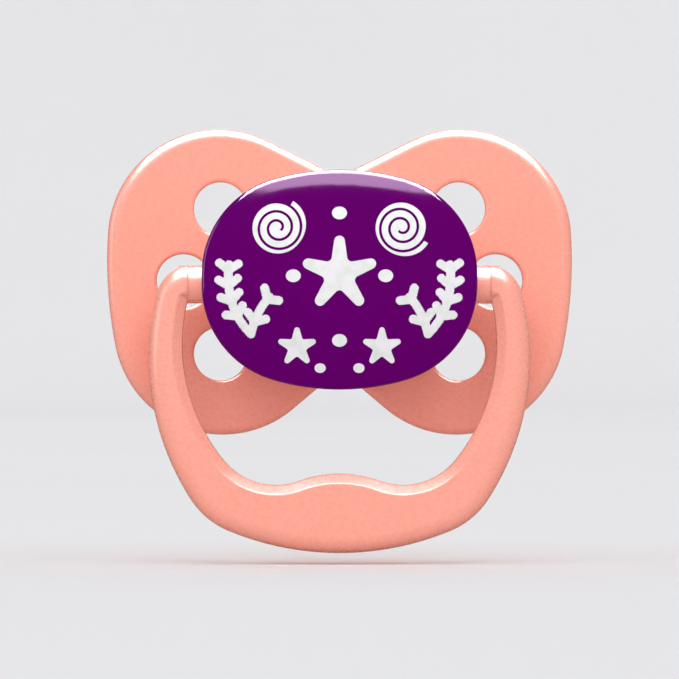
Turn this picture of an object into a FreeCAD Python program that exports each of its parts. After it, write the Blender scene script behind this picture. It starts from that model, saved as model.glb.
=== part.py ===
"""Baby's pacifier: a bowed shield with a silicone teat, a domed button and a swinging ring handle.

Millimetres. The origin is where the teat's axis meets the shield's face side. +Y runs along the
teat towards the mouth, -Y towards the button, and +Z is up. The pacifier is mirror-symmetric in X.
"""
import FreeCAD, Part

import math
import os

import Sketcher

SHEET_NAME = "dims"

# Driving dimensions: alias, value in mm or degrees, what it is.
DIMENSIONS = (
    # Shield
    ("plate_thickness", 2.4, "shield plate, front to back"),
    ("plate_bow_radius", 105.0, "face-side radius of the bowed plate, about a vertical axis"),
    ("plate_blank_width", 60.0, "uncut plate, wider than the shield"),
    ("plate_blank_height", 44.0, "uncut plate, taller than the shield"),
    ("outline_margin", 2.0, "cutting outline, past the uncut plate"),
    ("upper_lobe_radius", 12.25, "outline of the upper wing"),
    ("upper_lobe_x", 13.35, "centre of the upper wing's round"),
    ("upper_lobe_z", 4.54, "centre of the upper wing's round"),
    ("lower_lobe_radius", 12.05, "outline of the lower wing"),
    ("lower_lobe_x", 12.92, "centre of the lower wing's round"),
    ("lower_lobe_drop", 5.0, "centre of the lower wing's round, below the axis"),
    ("side_radius", 49.25, "outline of the shield's flat side"),
    ("notch_radius", 3.0, "bottom of the nose and chin notches"),
    ("nose_notch_rise", 11.94, "lowest point of the nose notch"),
    ("chin_notch_drop", 10.8, "highest point of the chin notch"),
    ("rim_rounding", 1.1, "shield rim, both sides"),
    ("vent_radius", 2.95, "six vent holes"),
    ("vent_rounding", 0.4, "edge of a vent hole"),
    ("upper_vent_x", 13.2, "upper and lower vents"),
    ("upper_vent_rise", 8.0, "upper vents above the axis"),
    ("lower_vent_drop", 8.1, "lower vents below the axis"),
    ("side_vent_x", 17.3, "side vents, level with the axis"),
    ("teat_hole_radius", 3.8, "hole for the teat's neck"),
    # Collar, an oval wall on the shield's front that carries the button and the handle
    ("collar_half_width", 12.2, "outside"),
    ("collar_half_height", 9.6, "outside"),
    ("collar_top_radius", 16.0, "top and bottom arcs of the collar's oval"),
    ("collar_end_radius", 12.0, "left and right arcs"),
    ("collar_corner_radius", 8.2, "corner arcs"),
    ("collar_wall", 1.6, "wall"),
    ("collar_front", 11.0, "front rim, ahead of the origin"),
    ("collar_root", 1.2, "where the collar starts, inside the plate"),
    ("collar_root_rounding", 0.7, "between collar and plate"),
    # Button: base, glowing disc and printed film
    ("cap_half_width", 15.0, "outside of the printed film"),
    ("cap_half_height", 11.95, "outside of the printed film"),
    ("cap_top_radius", 25.65, "top and bottom arcs of the button's oval"),
    ("cap_end_radius", 30.0, "left and right arcs"),
    ("cap_corner_radius", 10.7, "corner arcs"),
    ("skirt_setback", 0.22, "base's side, inside the film's side"),
    ("skirt_wall", 1.5, "wall of the base's skirt"),
    ("skirt_back", 11.0, "rear edge of the skirt, ahead of the origin"),
    ("deck_back", 13.2, "rear of the base's deck"),
    ("deck_front", 14.6, "front of the base's deck, where the disc sits"),
    ("skirt_rounding", 0.45, "rear edge of the skirt"),
    ("spigot_gap", 0.08, "between the collar's bore and the base's spigot"),
    ("spigot_wall", 1.4, "wall of the spigot"),
    ("film_thickness", 0.12, "printed film"),
    ("dome_front", 16.9, "crown of the film, ahead of the origin"),
    ("dome_depth_radius", 6.66, "dome's half-axis along Y"),
    ("dome_spread", 1.5, "dome's half-axes over the button's half sizes"),
    ("dome_margin", 1.0, "uncut button, past the crown"),
    ("disc_edge_rounding", 0.45, "front edge of the disc"),
    # Teat and its plug
    ("flange_radius", 7.7, "teat's flange, trapped inside the collar"),
    ("flange_front", 4.0, "ahead of the origin"),
    ("flange_back", 2.4, "seat on the plate"),
    ("neck_radius", 3.72, "teat in the shield's hole"),
    ("neck_end", 0.3, "end of the neck, behind the shield"),
    ("stem_start", 1.3, "start of the thin stem"),
    ("stem_radius", 3.25, "thin stem at its start"),
    ("stem_end", 6.0, "end of the stem's straight taper"),
    ("stem_end_radius", 3.6, "thin stem at its end"),
    ("throat_radius", 10.33, "hollow curve between stem and bulb"),
    ("shoulder_radius", 12.0, "rising curve of the bulb"),
    ("bulb_radius", 6.85, "round end of the bulb"),
    ("bulb_centre", 17.6, "centre of the round end, behind the shield"),
    ("teat_wall", 1.25, "silicone wall"),
    ("plug_front", 5.4, "front of the plug's disc, ahead of the origin"),
    ("plug_spigot_radius", 1.95, "spigot inside the stem"),
    ("plug_spigot_end", 2.2, "end of the spigot, behind the shield"),
    ("plug_chamfer", 0.5, "lead-in of the spigot"),
    # Ring handle
    ("pivot_front", 11.45, "handle's axis, ahead of the origin"),
    ("pivot_drop", 0.5, "handle's axis, below the teat's axis"),
    ("stub_radius", 2.05, "handle's round stubs"),
    ("saddle_radius", 2.1, "half-round seats for the stubs"),
    ("stub_inner_x", 11.0, "free end of a stub"),
    ("stub_chamfer", 0.3, "free end of a stub"),
    ("stub_bite", 1.0, "stub's fixed end, inside the arm"),
    ("arm_inner_x", 16.52, "inner side of an arm at the stub"),
    ("saddle_inner_x", 10.75, "where the base's saddle starts"),
    ("ring_thickness", 4.4, "ring, front to back"),
    ("ring_foot_drop", 29.8, "lowest point of the ring"),
    ("ring_foot_radius", 31.56, "outline under the grip bar"),
    ("ring_foot_span", 22.6, "degrees"),
    ("ring_heel_radius", 9.0, "outer lower corner"),
    ("ring_heel_span", 34.4, "degrees"),
    ("ring_side_radius", 28.4, "outside of an arm"),
    ("ring_side_span", 47.3, "degrees"),
    ("ring_shoulder_radius", 4.19, "outside of an arm, round to the stub"),
    ("ring_shoulder_span", 66.8, "degrees"),
    ("ring_crest_drop", 21.17, "top of the grip bar's hump"),
    ("ring_crest_radius", 12.67, "grip bar's hump"),
    ("ring_crest_span", 20.3, "degrees"),
    ("ring_corner_radius", 7.34, "inner lower corner"),
    ("ring_corner_span", 71.0, "degrees"),
    ("ring_inside_radius", 20.1, "inside of an arm"),
    ("ring_inside_span", 53.9, "degrees"),
    ("ring_outer_rounding", 1.75, "outer edges of the ring"),
    ("ring_inner_bevel", 1.0, "inner edges of the ring"),
)

START, END, CENTRE = 1, 2, 3
ORIGIN = (-1, 1)
X_AXIS = -1
Z_AXIS = -2
TOLERANCE = 1e-4


def make_sheet(doc):
    """Fill the spreadsheet of driving dimensions."""
    sheet = doc.addObject("Spreadsheet::Sheet", SHEET_NAME)
    for row, (alias, value, meaning) in enumerate(DIMENSIONS, start=1):
        sheet.set("A%d" % row, alias)
        sheet.set("B%d" % row, str(value))
        sheet.set("C%d" % row, meaning)
        sheet.setAlias("B%d" % row, alias)
    doc.recompute()
    return sheet


class Sizes:
    """Reads the sheet's cells as numbers, by alias."""

    def __init__(self, sheet):
        self.sheet = sheet

    def __getattr__(self, alias):
        return float(self.sheet.get(alias))


def cell(text):
    """Turn aliases written as $alias into references to the sheet."""
    return text.replace("$", SHEET_NAME + ".")


# ---------------------------------------------------------------- document helpers


def new_body(doc, label):
    """Start a PartDesign body whose label names its file."""
    body = doc.addObject("PartDesign::Body", label)
    body.Label = label
    return body


def origin_plane(body, role):
    """Find one of the body's own origin planes."""
    return [item for item in body.Origin.OriginFeatures if item.Role == role][0]


def new_sketch(body, name, role, offset=None):
    """Attach a sketch to an origin plane, moved along the plane's normal by an expression."""
    sketch = body.newObject("Sketcher::SketchObject", name)
    sketch.AttachmentSupport = [(origin_plane(body, role), "")]
    sketch.MapMode = "FlatFace"
    if offset is not None:
        sketch.setExpression("AttachmentOffset.Base.z", cell(offset))
    return sketch


def front_sketch(body, name, offset=None):
    """Sketch on a plane facing the front: local x is X, local y is Z, offset runs forwards."""
    return new_sketch(body, name, "XZ_Plane", offset)


def set_dimension(sketch, kind, geometry, value, expression):
    """Add one dimension at its present value, then bind it to the sheet."""
    index = sketch.addConstraint(Sketcher.Constraint(kind, *geometry, value))
    sketch.setExpression("Constraints[%d]" % index, cell(expression))
    return index


def fix(sketch, kind, *geometry):
    """Add one geometric constraint."""
    sketch.addConstraint(Sketcher.Constraint(kind, *geometry))


def feature(body, kind, name, profile, **values):
    """Add a sketch-based feature; text values are expressions, others are set as they are."""
    item = body.newObject("PartDesign::" + kind, name)
    item.Profile = profile
    for key, value in values.items():
        if isinstance(value, str) and "$" in value:
            item.setExpression(key, cell(value))
        else:
            setattr(item, key, value)
    profile.Visibility = False
    body.Document.recompute()
    return item


def must_change(body, item, sign):
    """Stop if a feature added or cut nothing, or went the wrong way."""
    change = item.Shape.Volume - item.BaseFeature.Shape.Volume
    if change * sign <= 0:
        raise RuntimeError("%s in %s changed the volume by %.3f" % (item.Name, body.Label, change))


def mirror_in_x(body, name, originals):
    """Repeat features on the other side of the middle plane."""
    item = body.newObject("PartDesign::Mirrored", name)
    item.Originals = originals
    item.MirrorPlane = (origin_plane(body, "YZ_Plane"), [""])
    body.Tip = item
    body.Document.recompute()
    return item


def edge_names(shape, wanted):
    """Names of the edges that a test picks."""
    return ["Edge%d" % (i + 1) for i, edge in enumerate(shape.Edges) if wanted(edge)]


def dress(body, kind, name, base, edges, size, expression):
    """Add a fillet or a chamfer to named edges, bound to the sheet."""
    if not edges:
        raise RuntimeError("no edges for %s" % name)
    item = body.newObject("PartDesign::" + kind, name)
    item.Base = (base, edges)
    setattr(item, size, 0.1)
    item.setExpression(size, cell(expression))
    body.Document.recompute()
    return item


def middle(edge):
    """Point halfway along an edge."""
    first, last = edge.ParameterRange
    return edge.valueAt((first + last) / 2)


def face_radii(shape, edge):
    """Radii of the cylinders that meet at an edge."""
    faces = shape.ancestorsOfType(edge, Part.Face)
    return [face.Surface.Radius for face in faces if hasattr(face.Surface, "Radius")]


def near(value, target):
    """True when two sizes are the same within the tolerance."""
    return abs(value - target) < TOLERANCE


def meets_cylinder(shape, edge, radii):
    """True when one of the faces at an edge is a cylinder of one of the radii."""
    return any(near(radius, wanted) for radius in face_radii(shape, edge) for wanted in radii)


# ---------------------------------------------------------------- outlines


def add_arc(sketch, centre, radius, first, last):
    """Add an anticlockwise arc from one angle to another, in radians."""
    circle = Part.Circle(FreeCAD.Vector(centre[0], centre[1], 0), FreeCAD.Vector(0, 0, 1), radius)
    return sketch.addGeometry(Part.ArcOfCircle(circle, first, last), False)


def add_line(sketch, first, last):
    """Add a straight line between two points."""
    ends = [FreeCAD.Vector(point[0], point[1], 0) for point in (first, last)]
    return sketch.addGeometry(Part.LineSegment(*ends), False)


def direction(first, last):
    """Angle of the line from one point to another."""
    return math.atan2(last[1] - first[1], last[0] - first[0])


def inner_tangent_centre(first, first_radius, last, last_radius, radius):
    """Centre of the large arc that holds two smaller arcs inside it, on the side away from +x."""
    gap = math.dist(first, last)
    reach_first = radius - first_radius
    reach_last = radius - last_radius
    along = (reach_first ** 2 - reach_last ** 2 + gap ** 2) / (2 * gap)
    across = math.sqrt(reach_first ** 2 - along ** 2)
    unit = ((last[0] - first[0]) / gap, (last[1] - first[1]) / gap)
    options = []
    for side in (across, -across):
        options.append((first[0] + unit[0] * along - unit[1] * side,
                        first[1] + unit[1] * along + unit[0] * side))
    return min(options)


def crossing_tangent_angle(first, first_radius, last, last_radius, side):
    """Angle at which the line that crosses between two circles leaves the first one."""
    turn = math.acos((first_radius + last_radius) / math.dist(first, last))
    return direction(first, last) + side * turn


def on_circle(centre, radius, angle):
    """Point on a circle."""
    return (centre[0] + radius * math.cos(angle), centre[1] + radius * math.sin(angle))


def draw_oval(sketch, size, family, shrink="0"):
    """Draw an oval of eight tangent arcs about the origin, pulled in by a sum of cells.

    family is the prefix of its cells: half_width, half_height and the top, end and corner radii.
    """
    less = sum_of_cells(size, shrink)
    top, end, corner = (getattr(size, "%s_%s_radius" % (family, kind)) for kind in ("top", "end", "corner"))
    top_z = getattr(size, family + "_half_height") - top
    end_x = getattr(size, family + "_half_width") - end
    corner_x, corner_z = oval_corner((0.0, top_z), top - corner, (end_x, 0.0), end - corner)
    steep = direction((0.0, top_z), (corner_x, corner_z))
    shallow = direction((end_x, 0.0), (corner_x, corner_z))
    half, full = math.pi, 2 * math.pi
    rows = (
        ((end_x, 0.0), end, -shallow, shallow),
        ((corner_x, corner_z), corner, shallow, steep),
        ((0.0, top_z), top, steep, half - steep),
        ((-corner_x, corner_z), corner, half - steep, half - shallow),
        ((-end_x, 0.0), end, half - shallow, half + shallow),
        ((-corner_x, -corner_z), corner, half + shallow, half + steep),
        ((0.0, -top_z), top, half + steep, full - steep),
        ((corner_x, -corner_z), corner, full - steep, full - shallow),
    )
    arcs = [add_arc(sketch, centre, radius - less, first, last) for centre, radius, first, last in rows]
    for index, arc in enumerate(arcs):
        fix(sketch, "Tangent", arc, END, arcs[(index + 1) % len(arcs)], START)
    bind_oval(sketch, arcs, size, family, shrink)


def oval_corner(top_centre, top_reach, end_centre, end_reach):
    """Centre of a corner arc that is tangent to the top arc and the end arc from inside."""
    gap = math.dist(top_centre, end_centre)
    along = (top_reach ** 2 - end_reach ** 2 + gap ** 2) / (2 * gap)
    across = math.sqrt(top_reach ** 2 - along ** 2)
    angle = direction(top_centre, end_centre)
    options = []
    for side in (across, -across):
        options.append((top_centre[0] + along * math.cos(angle) - side * math.sin(angle),
                        top_centre[1] + along * math.sin(angle) + side * math.cos(angle)))
    return max(options, key=lambda point: point[0] + point[1])


def bind_oval(sketch, arcs, size, family, shrink):
    """Tie an oval's arcs to the sheet. They run right, corner, top, corner, left, corner, bottom, corner."""
    right, corner, top, _, left, _, bottom, _ = arcs
    for arc in (right, left):
        fix(sketch, "PointOnObject", arc, CENTRE, X_AXIS)
    for arc in (top, bottom):
        fix(sketch, "PointOnObject", arc, CENTRE, Z_AXIS)
    fix(sketch, "Equal", right, left)
    fix(sketch, "Equal", top, bottom)
    for other in arcs[3::2]:
        fix(sketch, "Equal", corner, other)
    for arc, kind in ((top, "top"), (right, "end"), (corner, "corner")):
        alias = "%s_%s_radius" % (family, kind)
        value = getattr(size, alias) - sum_of_cells(size, shrink)
        set_dimension(sketch, "Radius", (arc,), value, "$%s - (%s)" % (alias, shrink))
    for kind, half, first, last, name in (("DistanceY", "half_height", top, bottom, "top"),
                                          ("DistanceX", "half_width", right, left, "end")):
        offset = getattr(size, "%s_%s_radius" % (family, name)) - getattr(size, "%s_%s" % (family, half))
        expression = "$%s_%s_radius - $%s_%s" % (family, name, family, half)
        set_dimension(sketch, kind, (first, CENTRE, *ORIGIN), offset, expression)
        set_dimension(sketch, kind, (*ORIGIN, last, CENTRE), offset, expression)


def sum_of_cells(size, expression):
    """Value of a sum of cells written as $alias + $alias, or 0."""
    if expression == "0":
        return 0.0
    return sum(getattr(size, term.strip().lstrip("$")) for term in expression.split("+"))


def draw_circle(sketch, centre, size, radius, place=None):
    """Draw a circle of a bound radius; place gives bound offsets (x, y) of its centre, by sign."""
    circle = Part.Circle(FreeCAD.Vector(centre[0], centre[1], 0), FreeCAD.Vector(0, 0, 1), size)
    index = sketch.addGeometry(circle, False)
    set_dimension(sketch, "Radius", (index,), size, radius)
    for kind, value, expression in zip(("DistanceX", "DistanceY"), centre, place or ("0", "0")):
        if expression == "0":
            axis = Z_AXIS if kind == "DistanceX" else X_AXIS
            fix(sketch, "PointOnObject", index, CENTRE, axis)
        elif value > 0:
            set_dimension(sketch, kind, (*ORIGIN, index, CENTRE), value, expression)
        else:
            set_dimension(sketch, kind, (index, CENTRE, *ORIGIN), -value, expression)
    return index


def draw_polygon(sketch, points):
    """Draw a closed polygon whose corners are (x, y) pairs, with its corners joined."""
    lines = []
    for index, point in enumerate(points):
        lines.append(add_line(sketch, point, points[(index + 1) % len(points)]))
    for index, line in enumerate(lines):
        fix(sketch, "Coincident", line, END, lines[(index + 1) % len(lines)], START)
    return lines


# ---------------------------------------------------------------- shield


def bowed_plate(body, size):
    """Plate of even thickness, bent about a vertical axis ahead of it so its wings come forwards."""
    sketch = new_sketch(body, "plate_section", "XY_Plane")
    bow = size.plate_bow_radius
    inner = bow - size.plate_thickness
    centre = (0.0, -bow)
    half = math.asin(size.plate_blank_width / 2 / bow)
    up = math.pi / 2
    rear = add_arc(sketch, centre, bow, up - half, up + half)
    front = add_arc(sketch, centre, inner, up - half, up + half)
    right = add_line(sketch, on_circle(centre, inner, up - half), on_circle(centre, bow, up - half))
    left = add_line(sketch, on_circle(centre, bow, up + half), on_circle(centre, inner, up + half))
    for first, second in (((right, END), (rear, START)), ((rear, END), (left, START)),
                          ((left, END), (front, END)), ((front, START), (right, START))):
        fix(sketch, "Coincident", *first, *second)
    fix(sketch, "Coincident", rear, CENTRE, front, CENTRE)
    fix(sketch, "PointOnObject", rear, CENTRE, Z_AXIS)
    set_dimension(sketch, "Radius", (rear,), bow, "$plate_bow_radius")
    set_dimension(sketch, "Radius", (front,), inner, "$plate_bow_radius - $plate_thickness")
    set_dimension(sketch, "DistanceY", (rear, CENTRE, *ORIGIN), bow, "$plate_bow_radius")
    for side in (right, left):
        fix(sketch, "PointOnObject", rear, CENTRE, side)
    set_dimension(sketch, "DistanceX", (rear, END, rear, START), size.plate_blank_width, "$plate_blank_width")
    fix(sketch, "Symmetric", rear, END, rear, START, Z_AXIS)
    return feature(body, "Pad", "plate_blank", sketch, SideType="Symmetric", Length="$plate_blank_height")


def butterfly_cut(body, size):
    """Cut away all that lies outside the right half of the butterfly outline."""
    sketch = front_sketch(body, "outline")
    notch = size.notch_radius
    nose = (0.0, size.nose_notch_rise + notch)
    chin = (0.0, -size.chin_notch_drop - notch)
    upper = (size.upper_lobe_x, size.upper_lobe_z)
    lower = (size.lower_lobe_x, -size.lower_lobe_drop)
    upper_radius, lower_radius = size.upper_lobe_radius, size.lower_lobe_radius
    side = inner_tangent_centre(upper, upper_radius, lower, lower_radius, size.side_radius)
    leave_nose = crossing_tangent_angle(nose, notch, upper, upper_radius, -1)
    leave_chin = crossing_tangent_angle(chin, notch, lower, lower_radius, 1)
    high, low = direction(side, upper), direction(side, lower)
    nose_arc = add_arc(sketch, nose, notch, -math.pi / 2, leave_nose)
    nose_flank = add_line(sketch, on_circle(nose, notch, leave_nose),
                          on_circle(upper, upper_radius, leave_nose + math.pi))
    upper_arc = add_arc(sketch, upper, upper_radius, high, leave_nose + math.pi)
    side_arc = add_arc(sketch, side, size.side_radius, low, high)
    lower_arc = add_arc(sketch, lower, lower_radius, leave_chin - math.pi, low)
    chin_flank = add_line(sketch, on_circle(lower, lower_radius, leave_chin - math.pi),
                          on_circle(chin, notch, leave_chin))
    chin_arc = add_arc(sketch, chin, notch, leave_chin, math.pi / 2)
    for joint in ((nose_arc, END, nose_flank, START), (nose_flank, END, upper_arc, END),
                  (upper_arc, START, side_arc, END), (side_arc, START, lower_arc, END),
                  (lower_arc, START, chin_flank, START), (chin_flank, END, chin_arc, START)):
        fix(sketch, "Tangent", *joint)
    frame_outline(sketch, size, nose_arc, chin_arc)
    bind_outline(sketch, size, (nose_arc, upper_arc, side_arc, lower_arc, chin_arc))
    cut = feature(body, "Pocket", "outline_cut", sketch, SideType="Symmetric", Type="ThroughAll")
    must_change(body, cut, -1)
    return mirror_in_x(body, "outline_cut_both", [cut])


def frame_outline(sketch, size, nose_arc, chin_arc):
    """Close the cut's outline round the outside of the plate blank."""
    reach = size.plate_blank_width / 2 + size.outline_margin
    top = size.plate_blank_height / 2 + size.outline_margin
    nose_z, chin_z = size.nose_notch_rise, -size.chin_notch_drop
    corners = ((0, nose_z), (0, top), (reach, top), (reach, -top), (0, -top), (0, chin_z))
    lines = [add_line(sketch, corners[i], corners[i + 1]) for i in range(len(corners) - 1)]
    for index in range(len(lines) - 1):
        fix(sketch, "Coincident", lines[index], END, lines[index + 1], START)
    fix(sketch, "Coincident", lines[0], START, nose_arc, START)
    fix(sketch, "Coincident", lines[-1], END, chin_arc, END)
    for line, kind in zip(lines, ("Vertical", "Horizontal", "Vertical", "Horizontal", "Vertical")):
        fix(sketch, kind, line)
    fix(sketch, "PointOnObject", lines[0], END, Z_AXIS)
    fix(sketch, "PointOnObject", lines[-1], START, Z_AXIS)
    wide, high = "$plate_blank_width / 2 + $outline_margin", "$plate_blank_height / 2 + $outline_margin"
    set_dimension(sketch, "DistanceX", (*ORIGIN, lines[1], END), reach, wide)
    set_dimension(sketch, "DistanceY", (*ORIGIN, lines[1], END), top, high)
    set_dimension(sketch, "DistanceY", (lines[3], END, *ORIGIN), top, high)


def bind_outline(sketch, size, arcs):
    """Tie the butterfly outline to the sheet."""
    nose, upper, side, lower, chin = arcs
    radii = ((nose, "notch"), (upper, "upper_lobe"), (side, "side"), (lower, "lower_lobe"), (chin, "notch"))
    for arc, name in radii:
        alias = name + "_radius"
        set_dimension(sketch, "Radius", (arc,), getattr(size, alias), "$" + alias)
    for arc in (nose, chin):
        fix(sketch, "PointOnObject", arc, CENTRE, Z_AXIS)
    set_dimension(sketch, "DistanceY", (*ORIGIN, nose, CENTRE), size.nose_notch_rise + size.notch_radius,
                  "$nose_notch_rise + $notch_radius")
    set_dimension(sketch, "DistanceY", (chin, CENTRE, *ORIGIN), size.chin_notch_drop + size.notch_radius,
                  "$chin_notch_drop + $notch_radius")
    set_dimension(sketch, "DistanceX", (*ORIGIN, upper, CENTRE), size.upper_lobe_x, "$upper_lobe_x")
    set_dimension(sketch, "DistanceY", (*ORIGIN, upper, CENTRE), size.upper_lobe_z, "$upper_lobe_z")
    set_dimension(sketch, "DistanceX", (*ORIGIN, lower, CENTRE), size.lower_lobe_x, "$lower_lobe_x")
    set_dimension(sketch, "DistanceY", (lower, CENTRE, *ORIGIN), size.lower_lobe_drop, "$lower_lobe_drop")


def add_collar(body, size):
    """Oval wall on the plate's front, with a flat seat inside it for the teat's flange."""
    outside = front_sketch(body, "collar_outside", "$collar_root")
    draw_oval(outside, size, "collar")
    wall = feature(body, "Pad", "collar", outside, Length="$collar_front - $collar_root")
    must_change(body, wall, 1)
    root = edge_names(wall.Shape, lambda edge: is_collar_root(wall.Shape, edge, size))
    rounded = dress(body, "Fillet", "collar_root_fillet", wall, root, "Radius", "$collar_root_rounding")
    inside = front_sketch(body, "collar_inside", "$collar_front")
    draw_oval(inside, size, "collar", "$collar_wall")
    bore = feature(body, "Pocket", "collar_bore", inside, Length="$collar_front - $flange_back")
    must_change(body, bore, -1)
    return rounded


def is_collar_root(shape, edge, size):
    """True for the edges where the collar's outside meets the plate's front."""
    front = size.plate_bow_radius - size.plate_thickness
    oval = (size.collar_top_radius, size.collar_end_radius, size.collar_corner_radius)
    return meets_cylinder(shape, edge, oval) and meets_cylinder(shape, edge, (front,))


def cut_saddles(body, size):
    """Half-round seats for the handle's stubs, in the collar's front rim."""
    sketch = new_sketch(body, "saddle", "YZ_Plane")
    place = ("$pivot_front", "$pivot_drop")
    draw_circle(sketch, (-size.pivot_front, -size.pivot_drop), size.saddle_radius, "$saddle_radius", place)
    cut = feature(body, "Pocket", "saddles", sketch, SideType="Symmetric", Type="ThroughAll")
    must_change(body, cut, -1)


def cut_vents(body, size):
    """Six round vent holes and the teat's hole, with softened edges on the vents."""
    sketch = front_sketch(body, "vent_holes")
    rows = ((size.upper_vent_x, size.upper_vent_rise, "$upper_vent_x", "$upper_vent_rise"),
            (size.upper_vent_x, -size.lower_vent_drop, "$upper_vent_x", "$lower_vent_drop"),
            (size.side_vent_x, 0.0, "$side_vent_x", "0"))
    for across, up, across_cell, up_cell in rows:
        for side in (1, -1):
            draw_circle(sketch, (side * across, up), size.vent_radius, "$vent_radius", (across_cell, up_cell))
    vents = feature(body, "Pocket", "vents", sketch, SideType="Symmetric", Type="ThroughAll")
    must_change(body, vents, -1)
    edges = edge_names(vents.Shape, lambda edge: is_vent_edge(vents.Shape, edge, size))
    dress(body, "Fillet", "vent_fillet", vents, edges, "Radius", "$vent_rounding")
    hole = front_sketch(body, "teat_hole")
    draw_circle(hole, (0.0, 0.0), size.teat_hole_radius, "$teat_hole_radius")
    cut = feature(body, "Pocket", "teat_hole_cut", hole, SideType="Symmetric", Type="ThroughAll")
    must_change(body, cut, -1)


def is_vent_edge(shape, edge, size):
    """True for the mouth of a vent hole, on either side of the plate."""
    bow = (size.plate_bow_radius, size.plate_bow_radius - size.plate_thickness)
    return meets_cylinder(shape, edge, (size.vent_radius,)) and meets_cylinder(shape, edge, bow)


def make_shield(doc, size):
    """Shield: bowed butterfly plate, collar, saddles, vents and the teat's hole."""
    body = new_body(doc, "shield")
    bowed_plate(body, size)
    plate = butterfly_cut(body, size)
    bow = (size.plate_bow_radius, size.plate_bow_radius - size.plate_thickness)
    rim = edge_names(plate.Shape, lambda edge: meets_cylinder(plate.Shape, edge, bow))
    dress(body, "Fillet", "rim_fillet", plate, rim, "Radius", "$rim_rounding")
    add_collar(body, size)
    cut_saddles(body, size)
    cut_vents(body, size)
    return body


# ---------------------------------------------------------------- teat and plug


def draw_teat(sketch, size, inset):
    """Half section of the teat from its tip to its stem's foot, pulled in by a distance. x is the radius.

    Returns the bulb's arc, the stem's line, the stem's foot and the tip.
    """
    bulb = size.bulb_radius - inset
    shoulder = size.shoulder_radius - inset
    throat = size.throat_radius + inset
    shoulder_centre = (size.bulb_radius - size.shoulder_radius, size.bulb_centre)
    throat_centre = (size.stem_end_radius + size.throat_radius, size.stem_end)
    stem_angle = math.atan2(size.stem_end_radius - size.stem_radius, size.stem_end - size.stem_start)
    flare = direction(throat_centre, shoulder_centre)
    tip = (0.0, size.bulb_centre + bulb)
    bulb_arc = add_arc(sketch, (0.0, size.bulb_centre), bulb, 0.0, math.pi / 2)
    shoulder_arc = add_arc(sketch, shoulder_centre, shoulder, flare - math.pi, 0.0)
    throat_arc = add_arc(sketch, throat_centre, throat, flare, math.pi - stem_angle)
    stem_top = on_circle(throat_centre, throat, math.pi - stem_angle)
    stem_foot = (size.stem_radius - inset, size.stem_start)
    stem = add_line(sketch, stem_top, stem_foot)
    for joint in ((bulb_arc, START, shoulder_arc, END), (shoulder_arc, START, throat_arc, START),
                  (throat_arc, END, stem, START)):
        fix(sketch, "Tangent", *joint)
    set_dimension(sketch, "Radius", (bulb_arc,), bulb, "$bulb_radius - %s" % inset_cell(inset))
    set_dimension(sketch, "Radius", (shoulder_arc,), shoulder, "$shoulder_radius - %s" % inset_cell(inset))
    set_dimension(sketch, "Radius", (throat_arc,), throat, "$throat_radius + %s" % inset_cell(inset))
    fix(sketch, "PointOnObject", bulb_arc, CENTRE, Z_AXIS)
    fix(sketch, "PointOnObject", bulb_arc, END, Z_AXIS)
    set_dimension(sketch, "DistanceY", (*ORIGIN, bulb_arc, CENTRE), size.bulb_centre, "$bulb_centre")
    set_dimension(sketch, "DistanceY", (*ORIGIN, shoulder_arc, CENTRE), size.bulb_centre, "$bulb_centre")
    set_dimension(sketch, "DistanceY", (*ORIGIN, stem, END), size.stem_start, "$stem_start")
    set_dimension(sketch, "DistanceX", (*ORIGIN, stem, END), stem_foot[0],
                  "$stem_radius - %s" % inset_cell(inset))
    return bulb_arc, stem, stem_foot, tip


def inset_cell(inset):
    """Cell that holds the inset of the teat's section."""
    return "$teat_wall" if inset > 0 else "0"


def close_section(sketch, bulb_arc, stem, points):
    """Join the stem's foot to the tip through the given corners."""
    lines = [add_line(sketch, points[i], points[i + 1]) for i in range(len(points) - 1)]
    fix(sketch, "Coincident", stem, END, lines[0], START)
    for index in range(len(lines) - 1):
        fix(sketch, "Coincident", lines[index], END, lines[index + 1], START)
    fix(sketch, "Coincident", lines[-1], END, bulb_arc, END)
    return lines


def bind_corners(sketch, lines, cells):
    """Tie the end of each line to the sheet; cells hold (radius, height) expressions.

    A height that starts with a minus sign is measured ahead of the origin.
    """
    for line, (radius, height) in zip(lines, cells):
        point = sketch.getPoint(line, END)
        if radius == "0":
            fix(sketch, "PointOnObject", line, END, Z_AXIS)
        else:
            set_dimension(sketch, "DistanceX", (*ORIGIN, line, END), point.x, radius)
        if height.startswith("-"):
            set_dimension(sketch, "DistanceY", (line, END, *ORIGIN), -point.y, height[1:])
        else:
            set_dimension(sketch, "DistanceY", (*ORIGIN, line, END), point.y, height)


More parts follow.
